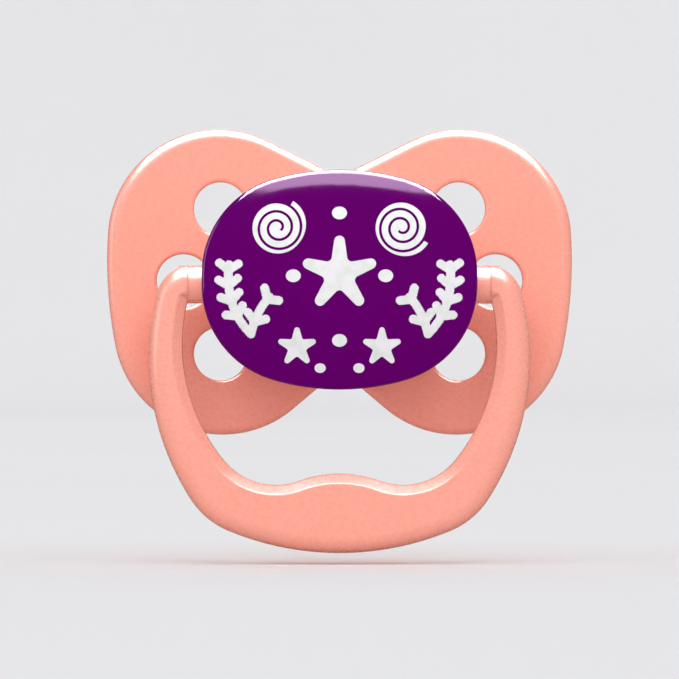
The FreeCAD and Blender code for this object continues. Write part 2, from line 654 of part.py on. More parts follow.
def make_teat(doc, size):
    """Hollow silicone teat: flange, neck, thin stem and round bulb, turned about the Y axis."""
    body = new_body(doc, "teat")
    outside = new_sketch(body, "teat_outside", "XY_Plane")
    bulb_arc, stem, foot, tip = draw_teat(outside, size, 0.0)
    corners = [foot, (size.neck_radius, size.neck_end), (size.neck_radius, -size.flange_back),
               (size.flange_radius, -size.flange_back), (size.flange_radius, -size.flange_front),
               (0.0, -size.flange_front), tip]
    lines = close_section(outside, bulb_arc, stem, corners)
    bind_corners(outside, lines[:-1], (
        ("$neck_radius", "$neck_end"), ("$neck_radius", "-$flange_back"),
        ("$flange_radius", "-$flange_back"), ("$flange_radius", "-$flange_front"), ("0", "-$flange_front")))
    feature(body, "Revolution", "teat_turned", outside, ReferenceAxis=(outside, ["V_Axis"]), Angle=360.0)
    inside = new_sketch(body, "teat_inside", "XY_Plane")
    bulb_arc, stem, foot, tip = draw_teat(inside, size, size.teat_wall)
    corners = [foot, (foot[0], -size.flange_front), (0.0, -size.flange_front), tip]
    lines = close_section(inside, bulb_arc, stem, corners)
    bind_corners(inside, lines[:-1], (
        ("$stem_radius - $teat_wall", "-$flange_front"), ("0", "-$flange_front")))
    hollow = feature(body, "Groove", "teat_hollow", inside, ReferenceAxis=(inside, ["V_Axis"]), Angle=360.0)
    must_change(body, hollow, -1)
    return body


def make_plug(doc, size):
    """Plug that holds the teat: a disc on the flange and a spigot in the stem's bore."""
    body = new_body(doc, "teat_plug")
    sketch = new_sketch(body, "plug_section", "XY_Plane")
    corners = ((0.0, -size.plug_front), (size.flange_radius, -size.plug_front),
               (size.flange_radius, -size.flange_front), (size.plug_spigot_radius, -size.flange_front),
               (size.plug_spigot_radius, size.plug_spigot_end - size.plug_chamfer),
               (size.plug_spigot_radius - size.plug_chamfer, size.plug_spigot_end),
               (0.0, size.plug_spigot_end))
    lines = draw_polygon(sketch, corners)
    bind_corners(sketch, lines, (
        ("$flange_radius", "-$plug_front"), ("$flange_radius", "-$flange_front"),
        ("$plug_spigot_radius", "-$flange_front"),
        ("$plug_spigot_radius", "$plug_spigot_end - $plug_chamfer"),
        ("$plug_spigot_radius - $plug_chamfer", "$plug_spigot_end"), ("0", "$plug_spigot_end"),
        ("0", "-$plug_front")))
    feature(body, "Revolution", "plug_turned", sketch, ReferenceAxis=(sketch, ["V_Axis"]), Angle=360.0)
    return body


# ---------------------------------------------------------------- button


def make_button_base(doc, size):
    """Button base: an oval deck with a skirt, and a spigot that fits the collar and traps the plug."""
    body = new_body(doc, "button_base")
    outside = front_sketch(body, "skirt_outside", "$skirt_back")
    draw_oval(outside, size, "cap", "$skirt_setback")
    block = feature(body, "Pad", "skirt", outside, Length="$deck_front - $skirt_back")
    rear = edge_names(block.Shape, lambda edge: near(middle(edge).y, -size.skirt_back))
    dress(body, "Fillet", "skirt_fillet", block, rear, "Radius", "$skirt_rounding")
    inside = front_sketch(body, "skirt_inside", "$skirt_back")
    draw_oval(inside, size, "cap", "$skirt_setback + $skirt_wall")
    hollow = feature(body, "Pocket", "skirt_hollow", inside, Length="$deck_back - $skirt_back", Reversed=True)
    must_change(body, hollow, -1)
    ring = front_sketch(body, "spigot_ring", "$plug_front")
    draw_oval(ring, size, "collar", "$collar_wall + $spigot_gap")
    draw_oval(ring, size, "collar", "$collar_wall + $spigot_gap + $spigot_wall")
    spigot = feature(body, "Pad", "spigot", ring, Length="$deck_back - $plug_front")
    must_change(body, spigot, 1)
    saddle = new_sketch(body, "saddle", "YZ_Plane", "$saddle_inner_x")
    place = ("$pivot_front", "$pivot_drop")
    draw_circle(saddle, (-size.pivot_front, -size.pivot_drop), size.saddle_radius, "$saddle_radius", place)
    cut = feature(body, "Pocket", "saddle_cut", saddle, Length="$cap_half_width", Reversed=True)
    must_change(body, cut, -1)
    mirror_in_x(body, "saddle_cut_both", [cut])
    return body


def domed_oval(doc, size, name, shrink, rounding):
    """Oval block whose front is cut to an ellipsoid, with a rounded front edge."""
    body = new_body(doc, name + "_blank")
    outline = front_sketch(body, name + "_outline", "$deck_front")
    draw_oval(outline, size, "cap", shrink)
    feature(body, "Pad", name + "_block", outline, Length="$dome_front - $deck_front + $dome_margin")
    dome = doc.addObject("Part::Ellipsoid", name + "_dome")
    dome.setExpression("Radius1", cell("$cap_half_height * $dome_spread"))
    dome.setExpression("Radius2", cell("$cap_half_width * $dome_spread"))
    dome.setExpression("Radius3", cell("$dome_depth_radius - (%s)" % shrink))
    dome.setExpression("Placement.Base.y", cell("$dome_depth_radius - $dome_front"))
    doc.recompute()
    common = doc.addObject("Part::Common", name + "_common")
    common.Base = body
    common.Tool = dome
    doc.recompute()
    front = [i + 1 for i, edge in enumerate(common.Shape.Edges) if is_dome_edge(common.Shape, edge, size)]
    rounded = doc.addObject("Part::Fillet", name + "_rounded")
    rounded.Base = common
    rounded.Edges = [(index, rounding, rounding) for index in front]
    doc.recompute()
    return rounded


def is_dome_edge(shape, edge, size):
    """True for the edges between the oval's side and the dome."""
    faces = shape.ancestorsOfType(edge, Part.Face)
    kinds = sorted(type(face.Surface).__name__ for face in faces)
    return "Cylinder" in kinds and kinds.count("Cylinder") == 1 and not near(middle(edge).y, -size.deck_front)


def make_button_disc(doc, size):
    """Domed disc of glowing plastic under the print."""
    disc = domed_oval(doc, size, "disc", "$film_thickness", size.disc_edge_rounding)
    disc.Label = "button_disc"
    return disc


def make_button_print(doc, size, disc):
    """Thin printed film that covers the disc's front and side."""
    outer = domed_oval(doc, size, "film", "0", size.disc_edge_rounding + size.film_thickness)
    film = doc.addObject("Part::Cut", "film_cut")
    film.Base = outer
    film.Tool = disc
    film.Label = "button_print"
    doc.recompute()
    return film


# ---------------------------------------------------------------- handle


def draw_chain(sketch, start, steps):
    """Draw tangent arcs one after another from a point on the Z axis, heading along +x.

    steps hold (cell prefix, radius, span in degrees, side), side 1 turning left and -1 turning right.
    Returns the arcs as (index, first end, last end) and the last point.
    """
    point, heading, arcs = start, 0.0, []
    for _, radius, span, side in steps:
        centre = on_circle(point, radius, heading + side * math.pi / 2)
        first = heading - side * math.pi / 2
        last = first + side * math.radians(span)
        index = add_arc(sketch, centre, radius, min(first, last), max(first, last))
        arcs.append((index, START, END) if side > 0 else (index, END, START))
        point = on_circle(centre, radius, last)
        heading += side * math.radians(span)
    for before, after in zip(arcs, arcs[1:]):
        fix(sketch, "Tangent", before[0], before[2], after[0], after[1])
    for (prefix, radius, _, _), (index, _, _) in zip(steps, arcs):
        set_dimension(sketch, "Radius", (index,), radius, "$%s_radius" % prefix)
    fix(sketch, "PointOnObject", arcs[0][0], CENTRE, Z_AXIS)
    fix(sketch, "PointOnObject", arcs[0][0], arcs[0][1], Z_AXIS)
    return arcs, point


def chain_steps(size, prefixes, sides):
    """Collect the radius and span of each arc of a chain from the sheet."""
    return [(prefix, getattr(size, prefix + "_radius"), getattr(size, prefix + "_span"), side)
            for prefix, side in zip(prefixes, sides)]


def ring_half(body, size):
    """Right half of the ring, drawn from the foot round to the stub and back inside."""
    sketch = front_sketch(body, "ring_outline", "$pivot_front")
    outer_steps = chain_steps(size, ("ring_foot", "ring_heel", "ring_side", "ring_shoulder"), (1, 1, 1, 1))
    inner_steps = chain_steps(size, ("ring_crest", "ring_corner", "ring_inside"), (-1, 1, 1))
    outer, outer_end = draw_chain(sketch, (0.0, -size.ring_foot_drop), outer_steps)
    inner, inner_end = draw_chain(sketch, (0.0, -size.ring_crest_drop), inner_steps)
    face = add_line(sketch, outer_end, inner_end)
    middle_line = add_line(sketch, (0.0, -size.ring_crest_drop), (0.0, -size.ring_foot_drop))
    fix(sketch, "Coincident", outer[-1][0], outer[-1][2], face, START)
    fix(sketch, "Coincident", face, END, inner[-1][0], inner[-1][2])
    fix(sketch, "Coincident", inner[0][0], inner[0][1], middle_line, START)
    fix(sketch, "Coincident", middle_line, END, outer[0][0], outer[0][1])
    fix(sketch, "Vertical", face)
    set_dimension(sketch, "DistanceX", (*ORIGIN, face, END), size.arm_inner_x, "$arm_inner_x")
    for chain, alias in ((outer, "ring_foot_drop"), (inner, "ring_crest_drop")):
        first = (chain[0][0], chain[0][1])
        set_dimension(sketch, "DistanceY", (*first, *ORIGIN), getattr(size, alias), "$" + alias)
    return feature(body, "Pad", "ring", sketch, SideType="Symmetric", Length="$ring_thickness")


def add_stub(body, size):
    """Round stub that points inwards from the arm, with a chamfered free end."""
    sketch = new_sketch(body, "stub_section", "YZ_Plane", "$stub_inner_x")
    place = ("$pivot_front", "$pivot_drop")
    draw_circle(sketch, (-size.pivot_front, -size.pivot_drop), size.stub_radius, "$stub_radius", place)
    return feature(body, "Pad", "stub", sketch, Length="$arm_inner_x - $stub_inner_x + $stub_bite")


def make_handle(doc, size):
    """Ring handle: a flat D-shaped ring with a humped grip bar, open at the top between two stubs."""
    body = new_body(doc, "handle")
    ring_half(body, size)
    ring = mirror_in_x(body, "ring_both", [body.getObject("ring")])
    front_faces = (-size.pivot_front - size.ring_thickness / 2, -size.pivot_front + size.ring_thickness / 2)
    outside = (size.ring_foot_radius, size.ring_heel_radius, size.ring_side_radius, size.ring_shoulder_radius)
    inside = (size.ring_crest_radius, size.ring_corner_radius, size.ring_inside_radius)
    rim = edge_names(ring.Shape, lambda edge: is_flat_arc(edge, front_faces, outside))
    rounded = dress(body, "Fillet", "ring_outer_fillet", ring, rim, "Radius", "$ring_outer_rounding")
    bore = edge_names(rounded.Shape, lambda edge: is_flat_arc(edge, front_faces, inside))
    dress(body, "Chamfer", "ring_inner_chamfer", rounded, bore, "Size", "$ring_inner_bevel")
    stub = add_stub(body, size)
    must_change(body, stub, 1)
    both = mirror_in_x(body, "stub_both", [stub])
    ends = edge_names(both.Shape, lambda edge: near(abs(middle(edge).x), size.stub_inner_x))
    dress(body, "Chamfer", "stub_chamfer", both, ends, "Size", "$stub_chamfer")
    return body


def is_flat_arc(edge, planes, radii):
    """True for an arc of one of the radii on one of the ring's flat sides."""
    if not hasattr(edge.Curve, "Radius"):
        return False
    on_plane = any(near(middle(edge).y, plane) for plane in planes)
    return on_plane and any(near(edge.Curve.Radius, radius) for radius in radii)


# ---------------------------------------------------------------- checks and files


def check_document(doc, parts):
    """Stop if any object failed, or a part is empty or invalid."""
    for item in doc.Objects:
        if "Invalid" in item.State or "Error" in item.State:
            raise RuntimeError("%s failed: %s" % (item.Name, item.State))
    for part in parts:
        if part.Shape.isNull() or not part.Shape.isValid():
            raise RuntimeError("%s has no valid shape" % part.Label)
        print("%-14s solids %d  volume %9.2f mm3" % (part.Label, len(part.Shape.Solids), part.Shape.Volume))


def main():
    """Build the document, check it and write one STEP file for each part."""
    doc = FreeCAD.newDocument("pacifier")
    size = Sizes(make_sheet(doc))
    parts = [make_shield(doc, size), make_teat(doc, size), make_plug(doc, size), make_button_base(doc, size)]
    disc = make_button_disc(doc, size)
    parts += [disc, make_button_print(doc, size, disc), make_handle(doc, size)]
    doc.recompute()
    check_document(doc, parts)
    os.makedirs("parts", exist_ok=True)
    for part in parts:
        part.Shape.exportStep("parts/%s.step" % part.Label)


main()
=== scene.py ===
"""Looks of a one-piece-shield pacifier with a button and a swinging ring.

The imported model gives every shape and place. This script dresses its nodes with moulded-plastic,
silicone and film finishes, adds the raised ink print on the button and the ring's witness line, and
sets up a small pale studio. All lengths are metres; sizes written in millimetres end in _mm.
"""

import logging
import math
from collections.abc import Callable
from dataclasses import dataclass, field
from enum import Enum

import bmesh
import bpy
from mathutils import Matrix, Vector


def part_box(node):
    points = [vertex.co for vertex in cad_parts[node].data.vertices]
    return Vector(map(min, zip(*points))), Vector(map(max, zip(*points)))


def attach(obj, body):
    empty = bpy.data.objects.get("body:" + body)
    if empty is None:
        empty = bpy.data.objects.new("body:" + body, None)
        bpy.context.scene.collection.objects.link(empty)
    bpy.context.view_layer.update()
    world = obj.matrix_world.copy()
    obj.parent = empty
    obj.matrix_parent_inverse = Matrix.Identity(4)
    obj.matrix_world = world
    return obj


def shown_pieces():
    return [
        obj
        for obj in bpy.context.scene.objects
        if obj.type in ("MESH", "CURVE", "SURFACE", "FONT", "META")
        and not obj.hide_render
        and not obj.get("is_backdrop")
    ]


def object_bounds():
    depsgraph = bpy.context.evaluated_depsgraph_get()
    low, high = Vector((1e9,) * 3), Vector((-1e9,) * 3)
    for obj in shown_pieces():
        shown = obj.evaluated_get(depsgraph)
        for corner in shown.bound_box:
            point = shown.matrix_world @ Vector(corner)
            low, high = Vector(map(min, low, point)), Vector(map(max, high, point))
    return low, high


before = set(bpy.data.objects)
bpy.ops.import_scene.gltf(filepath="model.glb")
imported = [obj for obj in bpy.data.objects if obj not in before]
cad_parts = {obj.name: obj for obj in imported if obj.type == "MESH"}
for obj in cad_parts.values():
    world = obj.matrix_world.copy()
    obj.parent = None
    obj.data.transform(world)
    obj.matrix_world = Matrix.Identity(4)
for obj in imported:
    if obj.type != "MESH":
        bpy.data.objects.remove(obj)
log = logging.getLogger("pacifier")

MM = 0.001
GUARD = "guard"
RING = "ring"
# Points of a print that are nearer than this are one point.
WELD_MM = 0.0005
# A print's edges that turn by more than this stay sharp.
SHARP_DEGREES = 40


def linear(colour: str) -> tuple[float, float, float, float]:
    """Turns an sRGB hex colour into linear light.

    Args:
        colour: Hex text such as "#f3a28d".

    Returns:
        Red, green, blue and full opacity.
    """
    channels = [int(colour[i : i + 2], 16) / 255 for i in (1, 3, 5)]
    light = [c / 12.92 if c <= 0.04045 else ((c + 0.055) / 1.055) ** 2.4 for c in channels]
    return (*light, 1.0)


def per_metre(size_mm: float) -> float:
    """Gives the texture scale at which one feature of a pattern is size_mm across."""
    return 1.0 / (size_mm * MM)


def add(
    tree: bpy.types.NodeTree,
    kind: str,
    feeds: dict | None = None,
    **settings: object,
) -> bpy.types.Node:
    """Adds one node with its settings and links.

    Args:
        tree: The node tree that gets the node.
        kind: The node's bl_idname.
        feeds: Input name or index to a plain value, or to the output socket that feeds it.
        settings: Properties of the node itself.

    Returns:
        The new node.
    """
    node = tree.nodes.new(kind)
    for name, value in settings.items():
        setattr(node, name, value)
    for key, value in (feeds or {}).items():
        if isinstance(value, bpy.types.NodeSocket):
            tree.links.new(value, node.inputs[key])
        else:
            node.inputs[key].default_value = value
    return node


# ---------------------------------------------------------------- finishes


@dataclass(frozen=True)
class MouldedPlastic:
    """Injection-moulded polypropylene or ABS off a lightly spark-eroded mould.

    The eye sees one even colour that is a little cloudy over a centimetre, a soft satin shine
    that breaks up very slightly, and edges that let some light through.
    """

    name: str
    colour: str
    cloud_colour: str
    roughness: float
    glow_through: float
    cloud_mm: float = 11.0
    # Real spark texture is about 0.05 mm; it is drawn at 0.32 mm, because finer wouldn't show.
    texture_mm: float = 0.32
    texture_depth_mm: float = 0.0018
    roughness_spread: float = 0.04
    # Mould edges are never knife sharp.
    edge_mm: float = 0.3

    def build(self) -> bpy.types.Material:
        """Makes the material."""
        material = bpy.data.materials.new(self.name)
        material.use_nodes = True
        tree = material.node_tree
        tree.nodes.clear()
        place = add(tree, "ShaderNodeTexCoord").outputs["Object"]
        cloud = add(
            tree,
            "ShaderNodeTexNoise",
            {"Vector": place, "Scale": per_metre(self.cloud_mm), "Detail": 2.0, "Roughness": 0.4},
        )
        grain = add(
            tree,
            "ShaderNodeTexNoise",
            {"Vector": place, "Scale": per_metre(self.texture_mm), "Detail": 3.0},
        )
        tint = add(
            tree,
            "ShaderNodeMix",
            {0: cloud.outputs[0], 6: linear(self.colour), 7: linear(self.cloud_colour)},
            data_type="RGBA",
        )
        polish = add(
            tree,
            "ShaderNodeMapRange",
            {
                "Value": grain.outputs[0],
                "From Min": 0.3,
                "From Max": 0.7,
                "To Min": self.roughness - self.roughness_spread,
                "To Max": self.roughness + self.roughness_spread,
            },
        )
        edge = add(tree, "ShaderNodeBevel", {"Radius": self.edge_mm * MM}, samples=6)
        relief = add(
            tree,
            "ShaderNodeBump",
            {
                "Strength": 0.6,
                "Distance": self.texture_depth_mm * MM,
                "Height": grain.outputs[0],
                "Normal": edge.outputs[0],
            },
        )
        surface = add(
            tree,
            "ShaderNodeBsdfPrincipled",
            {
                "Base Color": tint.outputs[2],
                "Roughness": polish.outputs[0],
                "Normal": relief.outputs[0],
                "IOR": 1.49,
                "Subsurface Weight": self.glow_through,
                "Subsurface Radius": (1.0, 0.55, 0.4),
                "Subsurface Scale": 0.9 * MM,
            },
        )
        add(tree, "ShaderNodeOutputMaterial", {"Surface": surface.outputs[0]})
        return material


@dataclass(frozen=True)
class ClearSilicone:
    """Liquid silicone rubber, clear grade, from a matt-polished mould.

    The eye sees a soft milky body that light passes into, with a greasy broad shine.
    """

    name: str = "liquid_silicone_clear"
    colour: str = "#f3f1ea"
    haze_colour: str = "#e6e4dc"
    haze_mm: float = 6.0
    ripple_mm: float = 1.4
    ripple_depth_mm: float = 0.002

    def build(self) -> bpy.types.Material:
        """Makes the material."""
        material = bpy.data.materials.new(self.name)
        material.use_nodes = True
        tree = material.node_tree
        tree.nodes.clear()
        place = add(tree, "ShaderNodeTexCoord").outputs["Object"]
        haze = add(
            tree, "ShaderNodeTexNoise", {"Vector": place, "Scale": per_metre(self.haze_mm)}
        )
        ripple = add(
            tree, "ShaderNodeTexNoise", {"Vector": place, "Scale": per_metre(self.ripple_mm)}
        )
        tint = add(
            tree,
            "ShaderNodeMix",
            {0: haze.outputs[0], 6: linear(self.colour), 7: linear(self.haze_colour)},
            data_type="RGBA",
        )
        polish = add(
            tree,
            "ShaderNodeMapRange",
            {"Value": ripple.outputs[0], "To Min": 0.26, "To Max": 0.36},
        )
        relief = add(
            tree,
            "ShaderNodeBump",
            {"Strength": 0.5, "Distance": self.ripple_depth_mm * MM, "Height": ripple.outputs[0]},
        )
        surface = add(
            tree,
            "ShaderNodeBsdfPrincipled",
            {
                "Base Color": tint.outputs[2],
                "Roughness": polish.outputs[0],
                "Normal": relief.outputs[0],
                "IOR": 1.41,
                "Transmission Weight": 0.15,
                "Subsurface Weight": 0.8,
                "Subsurface Radius": (1.0, 0.95, 0.9),
                "Subsurface Scale": 1.6 * MM,
            },
        )
        add(tree, "ShaderNodeOutputMaterial", {"Surface": surface.outputs[0]})
        return material


@dataclass(frozen=True)
class GlossFilm:
    """Polyester label film, printed on its back and bonded over the button.

    The eye sees deep even purple under a clear gloss that waves very slightly.
    """

    name: str = "polyester_film_purple"
    colour: str = "#5e0063"
    deep_colour: str = "#58005d"
    cloud_mm: float = 7.0
    wave_mm: float = 3.0
    wave_depth_mm: float = 0.004

    def build(self) -> bpy.types.Material:
        """Makes the material."""
        material = bpy.data.materials.new(self.name)
        material.use_nodes = True
        tree = material.node_tree
        tree.nodes.clear()
        place = add(tree, "ShaderNodeTexCoord").outputs["Object"]
        cloud = add(
            tree, "ShaderNodeTexNoise", {"Vector": place, "Scale": per_metre(self.cloud_mm)}
        )
        wave = add(
            tree,
            "ShaderNodeTexNoise",
            {"Vector": place, "Scale": per_metre(self.wave_mm), "Detail": 0.0},
        )
        tint = add(
            tree,
            "ShaderNodeMix",
            {0: cloud.outputs[0], 6: linear(self.colour), 7: linear(self.deep_colour)},
            data_type="RGBA",
        )
        relief = add(
            tree,
            "ShaderNodeBump",
            {"Strength": 0.4, "Distance": self.wave_depth_mm * MM, "Height": wave.outputs[0]},
        )
        surface = add(
            tree,
            "ShaderNodeBsdfPrincipled",
            {
                "Base Color": tint.outputs[2],
                "Roughness": 0.07,
                "Normal": relief.outputs[0],
                "IOR": 1.5,
                "Specular Tint": linear("#e9c4ea"),
            },
        )
        add(tree, "ShaderNodeOutputMaterial", {"Surface": surface.outputs[0]})
        return material


@dataclass(frozen=True)
class GlowInk:
    """Screen-printed phosphorescent ink.

    The eye sees near-white with a faint green cast, slightly mottled where the ink lies thinner,
    and a soft half-matt shine.
    """

    name: str = "screen_ink_phosphorescent"
    colour: str = "#dddbdd"
    thin_colour: str = "#cbd2ca"
    mottle_mm: float = 1.1
    # Ink grain is near 0.03 mm; it is drawn at 0.15 mm, because finer wouldn't show.
    grain_mm: float = 0.15
    grain_depth_mm: float = 0.003

    def build(self) -> bpy.types.Material:
        """Makes the material."""
        material = bpy.data.materials.new(self.name)
        material.use_nodes = True
        tree = material.node_tree
        tree.nodes.clear()
        place = add(tree, "ShaderNodeTexCoord").outputs["Object"]
        mottle = add(
            tree, "ShaderNodeTexNoise", {"Vector": place, "Scale": per_metre(self.mottle_mm)}
        )
        grain = add(
            tree, "ShaderNodeTexNoise", {"Vector": place, "Scale": per_metre(self.grain_mm)}
        )
        cover = add(
            tree,
            "ShaderNodeMapRange",
            {"Value": mottle.outputs[0], "From Min": 0.4, "From Max": 0.75},
        )
        tint = add(
            tree,
            "ShaderNodeMix",
            {0: cover.outputs[0], 6: linear(self.colour), 7: linear(self.thin_colour)},
            data_type="RGBA",
        )
        relief = add(
            tree,
            "ShaderNodeBump",
            {"Strength": 0.5, "Distance": self.grain_depth_mm * MM, "Height": grain.outputs[0]},
        )
        surface = add(
            tree,
            "ShaderNodeBsdfPrincipled",
            {
                "Base Color": tint.outputs[2],
                "Roughness": 0.42,
                "Normal": relief.outputs[0],
                "IOR": 1.5,
            },
        )
        add(tree, "ShaderNodeOutputMaterial", {"Surface": surface.outputs[0]})
        return material


@dataclass(frozen=True)
class SeamlessPaper:
    """Matt studio background paper: the eye sees one pale, faintly cloudy tone."""

    name: str = "seamless_paper"
    colour: str = "#f6f6f6"
    shade_colour: str = "#f2f2f3"
    cloud_mm: float = 180.0

    def build(self) -> bpy.types.Material:
        """Makes the material."""
        material = bpy.data.materials.new(self.name)
        material.use_nodes = True
        tree = material.node_tree
        tree.nodes.clear()
        place = add(tree, "ShaderNodeTexCoord").outputs["Object"]
        cloud = add(
            tree, "ShaderNodeTexNoise", {"Vector": place, "Scale": per_metre(self.cloud_mm)}
        )
        tint = add(
            tree,
            "ShaderNodeMix",
            {0: cloud.outputs[0], 6: linear(self.colour), 7: linear(self.shade_colour)},
            data_type="RGBA",
        )
        surface = add(
            tree,
            "ShaderNodeBsdfPrincipled",
            {"Base Color": tint.outputs[2], "Roughness": 0.9, "Specular IOR Level": 0.1},
        )
        add(tree, "ShaderNodeOutputMaterial", {"Surface": surface.outputs[0]})
        return material


CORAL_POLYPROPYLENE = MouldedPlastic(
    name="polypropylene_coral_satin",
    colour="#f2a18f",
    cloud_colour="#ef9b89",
    roughness=0.28,
    glow_through=0.12,
)
NATURAL_POLYPROPYLENE = MouldedPlastic(
    name="polypropylene_natural",
    colour="#efece3",
    cloud_colour="#e7e4da",
    roughness=0.38,
    glow_through=0.3,
)
GLOW_PLASTIC = MouldedPlastic(
    name="abs_phosphorescent",
    colour="#e6ecd8",
    cloud_colour="#dfe7cf",
    roughness=0.4,
    glow_through=0.15,
)


# ---------------------------------------------------------------- making and dressing pieces


def dress(node_name: str, material: bpy.types.Material) -> None:
    """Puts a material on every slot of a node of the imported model."""
    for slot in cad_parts[node_name].material_slots:
        slot.material = material
    log.info("dressed %s in %s", node_name, material.name)


def new_tree(name: str, numbers: tuple[str, ...]) -> tuple[bpy.types.NodeTree, bpy.types.Node]:
    """Starts a Geometry Nodes tree with a geometry input, named numbers and a material.

    Args:
        name: The tree's name.
        numbers: The names of its number inputs.

    Returns:
        The tree and its input node.
    """
    tree = bpy.data.node_groups.new(name, "GeometryNodeTree")
    tree.is_modifier = True
    face = tree.interface
    face.new_socket("Geometry", in_out="INPUT", socket_type="NodeSocketGeometry")
    for number in numbers:
        face.new_socket(number, in_out="INPUT", socket_type="NodeSocketFloat")
    face.new_socket("Material", in_out="INPUT", socket_type="NodeSocketMaterial")
    face.new_socket("Geometry", in_out="OUTPUT", socket_type="NodeSocketGeometry")
    return tree, add(tree, "NodeGroupInput")


def close_tree(
    tree: bpy.types.NodeTree, given: bpy.types.Node, geometry: bpy.types.NodeSocket
) -> None:
    """Ends a tree in real geometry that carries its material."""
    real = add(tree, "GeometryNodeRealizeInstances", {0: geometry})
    painted = add(
        tree,
        "GeometryNodeSetMaterial",
        {"Geometry": real.outputs[0], "Material": given.outputs["Material"]},
    )
    add(tree, "NodeGroupOutput", {0: painted.outputs[0]})


def grow(
    name: str, skeleton: bpy.types.Mesh, tree: bpy.types.NodeTree, inputs: dict[str, object]
) -> bpy.types.Object:
    """Runs a tree on a skeleton mesh and keeps the result as a plain mesh.

    Args:
        name: The piece's name.
        skeleton: The points or edges that the tree starts from.
        tree: The Geometry Nodes tree.
        inputs: A value for each of the tree's named inputs.

    Returns:
        The finished object, at the origin and with no modifier left.
    """
    piece = bpy.data.objects.new(name, skeleton)
    bpy.context.scene.collection.objects.link(piece)
    modifier = piece.modifiers.new(tree.name, "NODES")
    modifier.node_group = tree
    for item in tree.interface.items_tree:
        if item.name in inputs and item.in_out == "INPUT":
            modifier[item.identifier] = inputs[item.name]
    depsgraph = bpy.context.evaluated_depsgraph_get()
    made = bpy.data.meshes.new_from_object(piece.evaluated_get(depsgraph), depsgraph=depsgraph)
    piece.modifiers.remove(modifier)
    made.name = name
    piece.data = made
    log.info("%s: %d faces", name, len(made.polygons))
    return piece


def points_mesh(
    name: str,
    places: list[tuple[float, float, float]],
    edges: list[tuple[int, int]] = (),
    values: dict[str, list[float]] | None = None,
) -> bpy.types.Mesh:
    """Makes a mesh of loose points or lines with a number on each point.

    Args:
        name: The mesh's name.
        places: The points.
        edges: Pairs of points that are joined.
        values: Attribute name to one number for each point.

    Returns:
        The mesh.
    """
    mesh = bpy.data.meshes.new(name)
    mesh.from_pydata(places, edges, [])
    for key, numbers in (values or {}).items():
        mesh.attributes.new(key, "FLOAT", "POINT").data.foreach_set("value", numbers)
    return mesh


# ---------------------------------------------------------------- the button's print


class Motif(Enum):
    """The kinds of printed sea motif."""

    BUBBLE = "bubble"
    STARFISH = "starfish"
    STAR = "star"
    SHELL = "shell"


@dataclass(frozen=True)
class Spot:
    """One motif's place on the button: millimetres from its centre, and a turn in degrees."""

    motif: Motif
    x_mm: float
    z_mm: float
    turn: float = 0.0
    size: float = 1.0


@dataclass(frozen=True)
class Dome:
    """The button's front face: an ellipsoid whose axes run across, forwards and up."""

    across_mm: float = 22.5
    forward_mm: float = 6.66
    up_mm: float = 17.925

    def numbers(self) -> dict[str, float]:
        """Gives the dome as the tree inputs that wrap_on_dome reads."""
        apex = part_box("button_print")[0].y
        return {
            "Dome across": self.across_mm * MM,
            "Dome forward": self.forward_mm * MM,
            "Dome up": self.up_mm * MM,
            "Dome middle": apex + self.forward_mm * MM,
        }


DOME_INPUTS = ("Dome across", "Dome forward", "Dome up", "Dome middle", "Sunk", "Ink")


